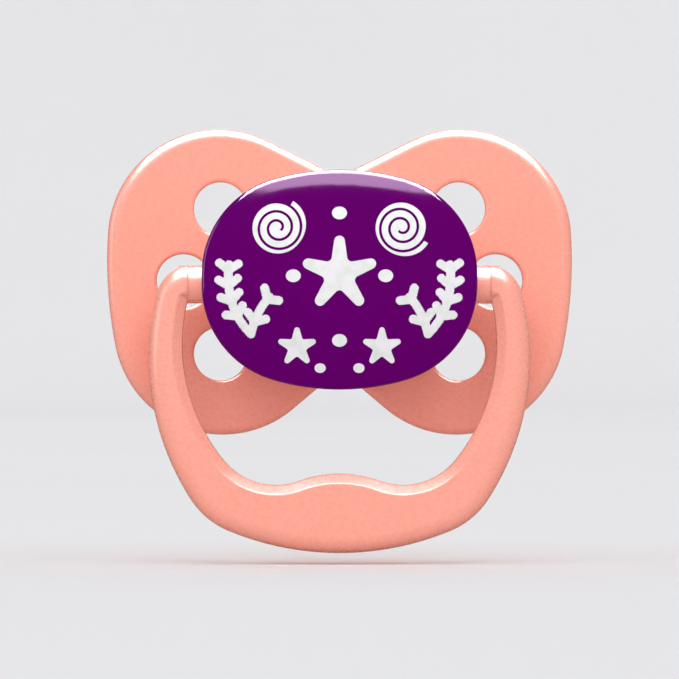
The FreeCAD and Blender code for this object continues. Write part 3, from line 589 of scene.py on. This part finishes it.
def wrap_on_dome(
    tree: bpy.types.NodeTree,
    given: bpy.types.Node,
    flat: bpy.types.NodeSocket,
    levels: int,
) -> bpy.types.NodeSocket:
    """Lays flat artwork on the dome and gives it the thickness of its ink.

    Args:
        tree: The tree that gets the nodes.
        given: Its input node, which has the numbers in DOME_INPUTS.
        flat: Artwork in the XY plane, with its Y upwards on the button.
        levels: How many times its triangles are halved, so that they follow the dome.

    Returns:
        The closed, sharp-edged print.
    """
    real = add(tree, "GeometryNodeRealizeInstances", {0: flat})
    cut = add(tree, "GeometryNodeTriangulate", {0: real.outputs[0]})
    fine = add(tree, "GeometryNodeSubdivideMesh", {"Mesh": cut.outputs[0], "Level": levels})
    place = add(tree, "GeometryNodeInputPosition")
    flat_place = add(tree, "ShaderNodeSeparateXYZ", {0: place.outputs[0]})
    axes = add(
        tree,
        "ShaderNodeCombineXYZ",
        {0: given.outputs["Dome across"], 1: given.outputs["Dome up"], 2: 1.0},
    )
    share = add(
        tree, "ShaderNodeVectorMath", {0: place.outputs[0], 1: axes.outputs[0]}, operation="DIVIDE"
    )
    squared = add(
        tree,
        "ShaderNodeVectorMath",
        {0: share.outputs[0], 1: share.outputs[0]},
        operation="DOT_PRODUCT",
    )
    left = add(tree, "ShaderNodeMath", {0: 1.0, 1: squared.outputs["Value"]}, operation="SUBTRACT")
    root = add(tree, "ShaderNodeMath", {0: left.outputs[0]}, operation="SQRT")
    rise = add(
        tree,
        "ShaderNodeMath",
        {0: root.outputs[0], 1: given.outputs["Dome forward"]},
        operation="MULTIPLY",
    )
    front = add(
        tree,
        "ShaderNodeMath",
        {0: given.outputs["Dome middle"], 1: rise.outputs[0]},
        operation="SUBTRACT",
    )
    sunk = add(
        tree, "ShaderNodeMath", {0: front.outputs[0], 1: given.outputs["Sunk"]}, operation="ADD"
    )
    spot = add(
        tree,
        "ShaderNodeCombineXYZ",
        {0: flat_place.outputs[0], 1: sunk.outputs[0], 2: flat_place.outputs[1]},
    )
    bent = add(
        tree,
        "GeometryNodeSetPosition",
        {"Geometry": fine.outputs[0], "Position": spot.outputs[0]},
    )
    raised = add(
        tree,
        "GeometryNodeExtrudeMesh",
        {"Mesh": bent.outputs[0], "Offset Scale": given.outputs["Ink"], "Individual": False},
    )
    under = add(tree, "GeometryNodeFlipFaces", {0: bent.outputs[0]})
    both = add(tree, "GeometryNodeJoinGeometry")
    tree.links.new(raised.outputs[0], both.inputs[0])
    tree.links.new(under.outputs[0], both.inputs[0])
    closed = add(
        tree, "GeometryNodeMergeByDistance", {"Geometry": both.outputs[0], "Distance": WELD_MM * MM}
    )
    smooth = add(tree, "GeometryNodeSetShadeSmooth", {0: closed.outputs[0]})
    angle = add(tree, "GeometryNodeInputMeshEdgeAngle")
    sharp = add(
        tree,
        "ShaderNodeMath",
        {0: angle.outputs["Unsigned Angle"], 1: math.radians(SHARP_DEGREES)},
        operation="GREATER_THAN",
    )
    edged = add(
        tree,
        "GeometryNodeStoreNamedAttribute",
        {"Geometry": smooth.outputs[0], "Name": "sharp_edge", "Value": sharp.outputs[0]},
        data_type="BOOLEAN",
        domain="EDGE",
    )
    return edged.outputs[0]


def bubble(tree: bpy.types.NodeTree, given: bpy.types.Node) -> bpy.types.NodeSocket:
    """Draws one bubble: a slightly flattened disc of the input size."""
    circle = add(tree, "GeometryNodeCurvePrimitiveCircle", {"Radius": given.outputs["Reach"]})
    disc = add(tree, "GeometryNodeFillCurve", {0: circle.outputs[0]})
    oval = add(
        tree, "GeometryNodeTransform", {"Geometry": disc.outputs[0], "Scale": (1.08, 0.92, 1.0)}
    )
    return oval.outputs[0]


def rounded_star(tree: bpy.types.NodeTree, given: bpy.types.Node) -> bpy.types.NodeSocket:
    """Draws a five-armed star whose tips and inner corners are rounded."""
    star = add(
        tree,
        "GeometryNodeCurveStar",
        {
            "Points": 5,
            "Inner Radius": given.outputs["Waist"],
            "Outer Radius": given.outputs["Point"],
        },
    )
    number = add(tree, "GeometryNodeInputIndex")
    parity = add(tree, "ShaderNodeMath", {0: number.outputs[0], 1: 2.0}, operation="MODULO")
    rounding = add(
        tree,
        "ShaderNodeMix",
        {0: parity.outputs[0], 2: given.outputs["Tip"], 3: given.outputs["Crook"]},
        data_type="FLOAT",
    )
    soft = add(
        tree,
        "GeometryNodeFilletCurve",
        {"Curve": star.outputs[0], "Radius": rounding.outputs[0], "Count": 8},
        mode="POLY",
    )
    face = add(tree, "GeometryNodeFillCurve", {0: soft.outputs[0]})
    return face.outputs[0]


def star_sizes(reach: float, waist: float, tip: float, crook: float) -> dict[str, float]:
    """Works out a star's inputs from the sizes that show.

    Args:
        reach: From the middle to the rounded end of an arm.
        waist: From the middle to an inner corner.
        tip: The radius of an arm's end.
        crook: The radius of an inner corner.

    Returns:
        The tree inputs. Point is where an arm's two sides, which touch the round end, meet.
    """
    corner_out = waist * math.cos(math.radians(36))
    corner_up = waist * math.sin(math.radians(36))
    run = reach - tip - corner_out
    taper = math.atan2(corner_up, run) - math.asin(tip / math.hypot(run, corner_up))
    point = reach - tip + tip / math.sin(taper)
    return {"Waist": waist, "Point": point, "Tip": tip, "Crook": crook}


def spiral_shell(tree: bpy.types.NodeTree, given: bpy.types.Node) -> bpy.types.NodeSocket:
    """Draws a coiled shell as one band that winds in from its mouth to its middle.

    A thin gap winds inwards evenly from the outline, and stops short of the middle. The band
    lies outside the gap and inside the gap's turn before, or inside the outline on the first
    turn, where it flares at the mouth. Past the gap's end it fills the middle.
    """
    along, across = 180, 5
    # The band runs on this share of a turn past the gap, to fill the middle.
    middle_turns = 0.97
    # The outline draws in by this share for each turn, and the mouth flares over the first part.
    slimming_rate, mouth_turns = -0.09, 0.3
    grid = add(
        tree,
        "GeometryNodeMeshGrid",
        {"Size X": 1.0, "Size Y": 1.0, "Vertices X": along, "Vertices Y": across},
    )
    place = add(tree, "GeometryNodeInputPosition")
    parts = add(tree, "ShaderNodeSeparateXYZ", {0: place.outputs[0]})

    def sum_of(first: object, second: object, third: object = 0.0) -> bpy.types.NodeSocket:
        """Gives first times second, plus third."""
        feeds = {0: first, 1: second, 2: third}
        return add(tree, "ShaderNodeMath", feeds, operation="MULTIPLY_ADD").outputs[0]

    def pick(first: object, second: object, rule: str) -> bpy.types.NodeSocket:
        """Joins two numbers by a named rule of the Math node."""
        return add(tree, "ShaderNodeMath", {0: first, 1: second}, operation=rule).outputs[0]

    run = pick(parts.outputs[0], 0.5, "ADD")
    side = pick(parts.outputs[1], 0.5, "ADD")
    last_turn = pick(given.outputs["Turns"], middle_turns, "ADD")
    turn = pick(run, last_turn, "MULTIPLY")
    fall = pick(given.outputs["Pitch"], -1.0, "MULTIPLY")
    gap_middle = sum_of(turn, fall, given.outputs["Start"])
    half_gap = pick(given.outputs["Gap"], 0.5, "MULTIPLY")
    gap_outside = pick(gap_middle, half_gap, "ADD")
    winding = pick(turn, given.outputs["Turns"], "LESS_THAN")
    inner = pick(gap_outside, winding, "MULTIPLY")
    turn_before = pick(gap_middle, given.outputs["Pitch"], "ADD")
    gap_inside = pick(turn_before, half_gap, "SUBTRACT")
    slimming = sum_of(turn, slimming_rate, 1.0)
    mouth = add(
        tree,
        "ShaderNodeMapRange",
        {"Value": turn, "From Min": mouth_turns, "From Max": 0.0},
        interpolation_type="SMOOTHSTEP",
    )
    flare = pick(mouth.outputs[0], given.outputs["Flare"], "MULTIPLY")
    outline = sum_of(given.outputs["Reach"], slimming, flare)
    outer = pick(outline, gap_inside, "MINIMUM")
    radius = add(
        tree, "ShaderNodeMix", {0: side, 2: inner, 3: outer}, data_type="FLOAT"
    ).outputs[0]
    swing = pick(turn, -math.tau, "MULTIPLY")
    cosine = add(tree, "ShaderNodeMath", {0: swing}, operation="COSINE")
    sine = add(tree, "ShaderNodeMath", {0: swing}, operation="SINE")
    rim = add(tree, "ShaderNodeCombineXYZ", {0: cosine.outputs[0], 1: sine.outputs[0]})
    spot = add(
        tree, "ShaderNodeVectorMath", {0: rim.outputs[0], "Scale": radius}, operation="SCALE"
    )
    band = add(
        tree,
        "GeometryNodeSetPosition",
        {"Geometry": grid.outputs[0], "Position": spot.outputs[0]},
    )
    whole = add(
        tree, "GeometryNodeMergeByDistance", {"Geometry": band.outputs[0], "Distance": 0.002 * MM}
    )
    return whole.outputs[0]


@dataclass(frozen=True)
class Artwork:
    """How one kind of motif is drawn: its nodes, its own sizes in millimetres and its fineness."""

    draw: Callable[[bpy.types.NodeTree, bpy.types.Node], bpy.types.NodeSocket]
    sizes_mm: dict[str, float]
    plain: dict[str, float] = field(default_factory=dict)
    levels: int = 2


ARTWORKS = {
    Motif.BUBBLE: Artwork(bubble, {"Reach": 0.75}, levels=1),
    Motif.STARFISH: Artwork(rounded_star, star_sizes(3.6, 1.35, 0.5, 0.45)),
    Motif.STAR: Artwork(rounded_star, star_sizes(1.7, 0.8, 0.24, 0.2)),
    Motif.SHELL: Artwork(
        spiral_shell,
        {"Reach": 2.9, "Start": 2.7, "Pitch": 1.0, "Gap": 0.3, "Flare": 0.45},
        plain={"Turns": 2.3},
        levels=0,
    ),
}


def motif_tree(motif: Motif, artwork: Artwork) -> bpy.types.NodeTree:
    """Builds the tree that sets one kind of motif on every point of its skeleton."""
    names = (*DOME_INPUTS, *artwork.sizes_mm, *artwork.plain)
    tree, given = new_tree(f"print_{motif.value}", names)
    shape = artwork.draw(tree, given)
    turn = add(
        tree, "GeometryNodeInputNamedAttribute", {"Name": "turn"}, data_type="FLOAT"
    )
    size = add(
        tree, "GeometryNodeInputNamedAttribute", {"Name": "size"}, data_type="FLOAT"
    )
    spin = add(tree, "ShaderNodeCombineXYZ", {2: turn.outputs["Attribute"]})
    placed = add(
        tree,
        "GeometryNodeInstanceOnPoints",
        {
            "Points": given.outputs["Geometry"],
            "Instance": shape,
            "Rotation": spin.outputs[0],
            "Scale": size.outputs["Attribute"],
        },
    )
    close_tree(tree, given, wrap_on_dome(tree, given, placed.outputs[0], artwork.levels))
    return tree


@dataclass(frozen=True)
class CoralArm:
    """One arm of a coral sprig: three points of a bent line, millimetres from the centre."""

    root: tuple[float, float]
    bend: tuple[float, float]
    tip: tuple[float, float]


@dataclass
class CoralPrint:
    """Two mirrored coral sprigs: arms with short blunt fingers set along both sides."""

    half_width_mm: float = 0.48
    finger_mm: float = 1.25
    finger_gap_mm: float = 1.55
    finger_angle: float = 55.0
    # The share of each arm that has fingers, from its root.
    finger_span: tuple[float, float] = (0.3, 0.93)
    cell_mm: float = 0.075
    arms: tuple[CoralArm, ...] = (
        CoralArm((-9.6, -5.9), (-12.4, -3.2), (-12.0, 1.6)),
        CoralArm((-9.6, -5.9), (-9.0, -3.4), (-7.6, -1.9)),
        CoralArm((9.6, -5.9), (12.4, -3.2), (12.0, 1.6)),
        CoralArm((9.6, -5.9), (9.0, -3.4), (7.6, -1.9)),
    )

    def skeleton(self) -> bpy.types.Mesh:
        """Makes the arms' middle lines as short joined runs."""
        runs = 12
        places, edges = [], []
        for arm in self.arms:
            start = len(places)
            for i in range(runs + 1):
                t = i / runs
                mix = [
                    (1 - t) ** 2 * a + 2 * t * (1 - t) * b + t * t * c
                    for a, b, c in zip(arm.root, arm.bend, arm.tip)
                ]
                places.append((mix[0] * MM, mix[1] * MM, 0.0))
            edges += [(start + i, start + i + 1) for i in range(runs)]
        return points_mesh("coral_arms", places, edges)

    def tree(self) -> bpy.types.NodeTree:
        """Builds the tree: fingers along the arms, then a flat sheet cut to their outline."""
        names = (*DOME_INPUTS, "Half width", "Finger", "Finger gap", "Cell", "Span", "Height")
        tree, given = new_tree("print_coral", names)
        arms = add(tree, "GeometryNodeMeshToCurve", {0: given.outputs["Geometry"]})
        first, last = self.finger_span
        free = add(tree, "GeometryNodeTrimCurve", {"Curve": arms.outputs[0], 2: first, 3: last})
        knots = add(
            tree,
            "GeometryNodeCurveToPoints",
            {"Curve": free.outputs[0], "Length": given.outputs["Finger gap"]},
            mode="LENGTH",
        )
        ahead = add(
            tree,
            "FunctionNodeAlignRotationToVector",
            {"Vector": knots.outputs["Tangent"]},
            axis="X",
            pivot_axis="Z",
        )
        reach = add(tree, "ShaderNodeCombineXYZ", {0: given.outputs["Finger"]})
        finger = add(tree, "GeometryNodeCurvePrimitiveLine", {"End": reach.outputs[0]})
        fingers = add(tree, "GeometryNodeJoinGeometry")
        for lean in (self.finger_angle, -self.finger_angle):
            sideways = add(
                tree,
                "FunctionNodeAxisAngleToRotation",
                {"Axis": (0.0, 0.0, 1.0), "Angle": math.radians(lean)},
            )
            aim = add(
                tree,
                "FunctionNodeRotateRotation",
                {0: ahead.outputs[0], 1: sideways.outputs[0]},
                rotation_space="LOCAL",
            )
            row = add(
                tree,
                "GeometryNodeInstanceOnPoints",
                {
                    "Points": knots.outputs["Points"],
                    "Instance": finger.outputs[0],
                    "Rotation": aim.outputs[0],
                },
            )
            tree.links.new(row.outputs[0], fingers.inputs[0])
        real = add(tree, "GeometryNodeRealizeInstances", {0: fingers.outputs[0]})
        lines = add(tree, "GeometryNodeJoinGeometry")
        tree.links.new(arms.outputs[0], lines.inputs[0])
        tree.links.new(real.outputs[0], lines.inputs[0])
        threads = add(tree, "GeometryNodeCurveToMesh", {0: lines.outputs[0]})
        count_x = add(
            tree,
            "ShaderNodeMath",
            {0: given.outputs["Span"], 1: given.outputs["Cell"]},
            operation="DIVIDE",
        )
        count_y = add(
            tree,
            "ShaderNodeMath",
            {0: given.outputs["Height"], 1: given.outputs["Cell"]},
            operation="DIVIDE",
        )
        sheet = add(
            tree,
            "GeometryNodeMeshGrid",
            {
                "Size X": given.outputs["Span"],
                "Size Y": given.outputs["Height"],
                "Vertices X": count_x.outputs[0],
                "Vertices Y": count_y.outputs[0],
            },
        )
        nearest = add(
            tree,
            "GeometryNodeProximity",
            {0: threads.outputs[0]},
            target_element="EDGES",
        )
        outside = add(
            tree,
            "ShaderNodeMath",
            {0: nearest.outputs["Distance"], 1: given.outputs["Half width"]},
            operation="GREATER_THAN",
        )
        kept = add(
            tree,
            "GeometryNodeDeleteGeometry",
            {"Geometry": sheet.outputs[0], "Selection": outside.outputs[0]},
            domain="POINT",
        )
        for domain, kind in (
            ("EDGE", "GeometryNodeInputMeshEdgeNeighbors"),
            ("POINT", "GeometryNodeInputMeshVertexNeighbors"),
        ):
            faces = add(tree, kind).outputs["Face Count"]
            bare = add(tree, "ShaderNodeMath", {0: faces, 1: 1.0}, operation="LESS_THAN")
            kept = add(
                tree,
                "GeometryNodeDeleteGeometry",
                {"Geometry": kept.outputs[0], "Selection": bare.outputs[0]},
                domain=domain,
            )
        # Points within this many cells of the outline are moved onto it.
        brink_cells = 1.05
        brink = add(
            tree,
            "ShaderNodeMath",
            {0: given.outputs["Cell"], 1: -brink_cells, 2: given.outputs["Half width"]},
            operation="MULTIPLY_ADD",
        )
        near_edge = add(
            tree,
            "ShaderNodeMath",
            {0: nearest.outputs["Distance"], 1: brink.outputs[0]},
            operation="GREATER_THAN",
        )
        place = add(tree, "GeometryNodeInputPosition")
        away = add(
            tree,
            "ShaderNodeVectorMath",
            {0: place.outputs[0], 1: nearest.outputs["Position"]},
            operation="SUBTRACT",
        )
        unit = add(tree, "ShaderNodeVectorMath", {0: away.outputs[0]}, operation="NORMALIZE")
        edge_reach = add(
            tree,
            "ShaderNodeVectorMath",
            {0: unit.outputs[0], "Scale": given.outputs["Half width"]},
            operation="SCALE",
        )
        edge_place = add(
            tree,
            "ShaderNodeVectorMath",
            {0: nearest.outputs["Position"], 1: edge_reach.outputs[0]},
            operation="ADD",
        )
        trimmed = add(
            tree,
            "GeometryNodeSetPosition",
            {
                "Geometry": kept.outputs[0],
                "Selection": near_edge.outputs[0],
                "Position": edge_place.outputs[0],
            },
        )
        close_tree(tree, given, wrap_on_dome(tree, given, trimmed.outputs[0], 0))
        return tree


@dataclass
class Button:
    """The oval button: a hidden base, a glow-plastic disc, a printed film and raised ink."""

    ink_mm: float = 0.045
    sunk_mm: float = 0.015
    dome: Dome = Dome()
    coral: CoralPrint = field(default_factory=CoralPrint)
    # A plain mirrored layout: a starfish in the middle, and the rest in left-right pairs.
    spots: tuple[Spot, ...] = (
        Spot(Motif.STARFISH, 0.0, 0.6, turn=90.0, size=1.15),
        Spot(Motif.SHELL, -6.7, 5.6, turn=60.0),
        Spot(Motif.SHELL, 6.7, 5.6, turn=-30.0),
        Spot(Motif.STAR, -4.6, -7.3, turn=90.0, size=1.25),
        Spot(Motif.STAR, 4.6, -7.3, turn=90.0, size=1.25),
        Spot(Motif.BUBBLE, 0.0, 7.2),
        Spot(Motif.BUBBLE, 0.0, -6.6),
        Spot(Motif.BUBBLE, -5.0, 0.4),
        Spot(Motif.BUBBLE, 5.0, 0.4),
        Spot(Motif.BUBBLE, -2.1, -9.6, size=0.75),
        Spot(Motif.BUBBLE, 2.1, -9.6, size=0.75),
    )

    def ink_inputs(self, ink: bpy.types.Material) -> dict[str, object]:
        """Gives the tree inputs that all the prints share."""
        return {
            **self.dome.numbers(),
            "Sunk": self.sunk_mm * MM,
            "Ink": (self.ink_mm + self.sunk_mm) * MM,
            "Material": ink,
        }

    def print_motifs(self, motif: Motif, ink: bpy.types.Material) -> None:
        """Prints every motif of one kind as one piece."""
        artwork = ARTWORKS[motif]
        spots = [spot for spot in self.spots if spot.motif is motif]
        skeleton = points_mesh(
            f"{motif.value}_spots",
            [(spot.x_mm * MM, spot.z_mm * MM, 0.0) for spot in spots],
            values={
                "turn": [math.radians(spot.turn) for spot in spots],
                "size": [spot.size for spot in spots],
            },
        )
        sizes = {name: value * MM for name, value in artwork.sizes_mm.items()}
        inputs = {**self.ink_inputs(ink), **sizes, **artwork.plain}
        piece = grow(f"print_{motif.value}", skeleton, motif_tree(motif, artwork), inputs)
        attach(piece, GUARD)

    def print_coral(self, ink: bpy.types.Material) -> None:
        """Prints the two coral sprigs as one piece."""
        low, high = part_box("button_print")
        sizes = {
            "Half width": self.coral.half_width_mm * MM,
            "Finger": self.coral.finger_mm * MM,
            "Finger gap": self.coral.finger_gap_mm * MM,
            "Cell": self.coral.cell_mm * MM,
            "Span": high.x - low.x,
            "Height": high.z - low.z,
        }
        piece = grow(
            "print_coral",
            self.coral.skeleton(),
            self.coral.tree(),
            {**self.ink_inputs(ink), **sizes},
        )
        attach(piece, GUARD)

    def build(self) -> None:
        """Dresses the button's nodes and prints the film."""
        dress("button_base", NATURAL_POLYPROPYLENE.build())
        dress("button_disc", GLOW_PLASTIC.build())
        dress("button_print", GlossFilm().build())
        ink = GlowInk().build()
        for motif in Motif:
            self.print_motifs(motif, ink)
        self.print_coral(ink)


# ---------------------------------------------------------------- guard, teat and ring


@dataclass
class Guard:
    """The butterfly shield that everything else is fixed to."""

    plastic: bpy.types.Material

    def build(self) -> None:
        """Dresses the shield."""
        dress("shield", self.plastic)


@dataclass
class Teat:
    """The hollow silicone teat and the plug that holds its flange in the shield."""

    def build(self) -> None:
        """Dresses the teat and its plug."""
        dress("teat", ClearSilicone().build())
        plug = MouldedPlastic(
            name="polypropylene_natural_plug",
            colour="#e9e6dc",
            cloud_colour="#e2dfd3",
            roughness=0.42,
            glow_through=0.3,
        )
        dress("teat_plug", plug.build())


@dataclass
class RingHandle:
    """The swinging ring, with the fine witness line where its mould halves met."""

    plastic: bpy.types.Material
    line_mm: float = 0.03
    step_mm: float = 0.06

    def mould_line(self) -> bpy.types.Mesh:
        """Finds where the ring's middle plane meets its surface.

        Returns:
            The edges of that section, as the skeleton of the witness line.
        """
        low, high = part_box("handle")
        work = bmesh.new()
        work.from_mesh(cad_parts["handle"].data)
        bmesh.ops.remove_doubles(work, verts=work.verts, dist=0.001 * MM)
        bmesh.ops.bisect_plane(
            work,
            geom=[*work.verts, *work.edges, *work.faces],
            plane_co=(0.0, (low.y + high.y) / 2, 0.0),
            plane_no=(0.0, 1.0, 0.0),
            clear_inner=True,
            clear_outer=True,
        )
        bmesh.ops.remove_doubles(work, verts=work.verts, dist=self.step_mm * MM)
        mesh = bpy.data.meshes.new("ring_section")
        work.to_mesh(mesh)
        work.free()
        return mesh

    def build(self) -> None:
        """Dresses the ring and sweeps its witness line."""
        dress("handle", self.plastic)
        tree, given = new_tree("witness_line", ("Line",))
        path = add(tree, "GeometryNodeMeshToCurve", {0: given.outputs["Geometry"]})
        bead = add(
            tree,
            "GeometryNodeCurvePrimitiveCircle",
            {"Resolution": 6, "Radius": given.outputs["Line"]},
        )
        swept = add(
            tree, "GeometryNodeCurveToMesh", {0: path.outputs[0], 1: bead.outputs[0]}
        )
        smooth = add(tree, "GeometryNodeSetShadeSmooth", {0: swept.outputs[0]})
        close_tree(tree, given, smooth.outputs[0])
        line = grow(
            "ring_witness_line",
            self.mould_line(),
            tree,
            {"Line": self.line_mm * MM, "Material": self.plastic},
        )
        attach(line, RING)


# ---------------------------------------------------------------- studio


class Shine(Enum):
    """What a soft box adds to a surface."""

    ALL = "all"
    BODY = "body"
    GLEAM = "gleam"


@dataclass(frozen=True)
class SoftBox:
    """A rectangular studio light that shines on the object and leaves out the studio.

    Attributes:
        name: What the light is called.
        place: Its middle, from the object's middle.
        size: Its width and height.
        glow: How bright its face looks, where 1 is paper white.
        shines: Whether it gives body colour, gleams or both.
    """

    name: str
    place: tuple[float, float, float]
    size: tuple[float, float]
    glow: float
    shines: Shine = Shine.ALL

    def build(self, target: Vector, lit: bpy.types.Collection) -> None:
        """Hangs the light so that it faces the target.

        Args:
            target: The point that it faces.
            lit: The pieces that it lights.
        """
        light = bpy.data.lights.new(self.name, "AREA")
        light.shape = "RECTANGLE"
        light.size, light.size_y = self.size
        light.energy = self.glow * math.pi * self.size[0] * self.size[1]
        holder = bpy.data.objects.new(self.name, light)
        holder.location = target + Vector(self.place)
        holder.rotation_euler = (-Vector(self.place)).to_track_quat("-Z", "Y").to_euler()
        bpy.context.scene.collection.objects.link(holder)
        holder.visible_camera = False
        holder.visible_glossy = self.shines is not Shine.BODY
        holder.visible_diffuse = self.shines is not Shine.GLEAM
        holder.light_linking.receiver_collection = lit


@dataclass
class Studio:
    """A pale paper sweep, even room light, soft boxes and the camera in front."""

    view_width: float = 0.0735
    lens_mm: float = 300.0
    floor_gap: float = 0.0012
    room_light: float = 0.97
    boxes: tuple[SoftBox, ...] = (
        SoftBox("button_strip", (0.0, -0.60, 0.415), (0.60, 0.085), 10.5),
        SoftBox("top_gleam", (0.0, -0.10, 0.55), (0.8, 0.7), 42.0, Shine.GLEAM),
        SoftBox("side_gleam", (-0.70, -0.20, 0.2), (0.3, 0.5), 4.5, Shine.GLEAM),
        SoftBox("key_box", (-0.40, -0.78, 0.44), (0.4, 0.4), 1.05, Shine.BODY),
        SoftBox("front_fill", (0.10, -1.0, -0.05), (0.6, 0.6), 1.85, Shine.BODY),
        SoftBox("back_fill", (0.25, 1.0, 0.40), (0.8, 0.5), 2.0),
    )
    lit: bpy.types.Collection = field(
        default_factory=lambda: bpy.data.collections.new("object_only")
    )

    def sweep(self, floor_z: float) -> None:
        """Makes the round floor that curves up into a low wall on every side.

        Args:
            floor_z: The floor's height.
        """
        reach, bend, top = 1.9, 0.5, 0.9
        steps, sides = 16, 96
        section = [(reach - bend, 0.0)]
        for i in range(1, steps + 1):
            lean = i / steps * math.pi / 2
            section.append((reach - bend + bend * math.sin(lean), bend - bend * math.cos(lean)))
        section.append((reach, top))
        turns = [i / sides * math.tau for i in range(sides)]
        places = [
            (radius * math.cos(turn), radius * math.sin(turn), floor_z + rise)
            for radius, rise in section
            for turn in turns
        ]
        faces = [tuple(range(sides))]
        for ring in range(len(section) - 1):
            low, high = ring * sides, (ring + 1) * sides
            for i in range(sides):
                after = (i + 1) % sides
                faces.append((low + i, high + i, high + after, low + after))
        mesh = bpy.data.meshes.new("paper_sweep")
        mesh.from_pydata(places, [], faces)
        mesh.shade_smooth()
        mesh.materials.append(SeamlessPaper().build())
        paper = bpy.data.objects.new("paper_sweep", mesh)
        paper.visible_glossy = False
        bpy.context.scene.collection.objects.link(paper)
        paper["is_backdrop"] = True

    def room(self) -> None:
        """Fills the room with even light that shines on things but isn't mirrored in them."""
        world = bpy.data.worlds.new("room")
        world.use_nodes = True
        world.node_tree.nodes.clear()
        glow = add(
            world.node_tree,
            "ShaderNodeBackground",
            {"Color": linear("#fdfdff"), "Strength": self.room_light},
        )
        add(world.node_tree, "ShaderNodeOutputWorld", {"Surface": glow.outputs[0]})
        world.cycles_visibility.glossy = False
        bpy.context.scene.world = world

    def camera(self, middle: Vector) -> None:
        """Sets the camera straight in front, far enough back for a flat view.

        Args:
            middle: The point that the camera looks at.
        """
        lens = bpy.data.cameras.new("camera")
        lens.lens = self.lens_mm
        half_angle = math.atan(lens.sensor_width / 2 / lens.lens)
        holder = bpy.data.objects.new("camera", lens)
        distance = self.view_width / 2 / math.tan(half_angle)
        holder.location = (middle.x, middle.y - distance, middle.z)
        holder.rotation_euler = (math.radians(90), 0.0, 0.0)
        bpy.context.scene.collection.objects.link(holder)
        bpy.context.scene.camera = holder

    def build(self, low: Vector, high: Vector) -> None:
        """Sets up the studio round an object.

        Args:
            low: The lowest corner of the object's box.
            high: Its highest corner.
        """
        middle = (low + high) / 2
        self.sweep(low.z - self.floor_gap)
        self.room()
        for box in self.boxes:
            box.build(middle, self.lit)
        front = Vector((middle.x, low.y, middle.z))
        self.camera(front)
        bpy.context.scene.view_settings.view_transform = "Standard"
        log.info("studio ready")

    def light_pieces(self) -> None:
        """Lets the soft boxes that leave out the studio light every finished piece."""
        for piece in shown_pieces():
            self.lit.objects.link(piece)


def main() -> None:
    """Builds the studio and every part of the pacifier."""
    logging.basicConfig(level=logging.INFO, format="%(name)s: %(message)s")
    cad_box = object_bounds()
    studio = Studio()
    studio.build(*cad_box)
    coral = CORAL_POLYPROPYLENE.build()
    for part in (Guard(coral), Teat(), Button(), RingHandle(coral)):
        part.build()
    studio.light_pieces()


if __name__ == "__main__":
    main()
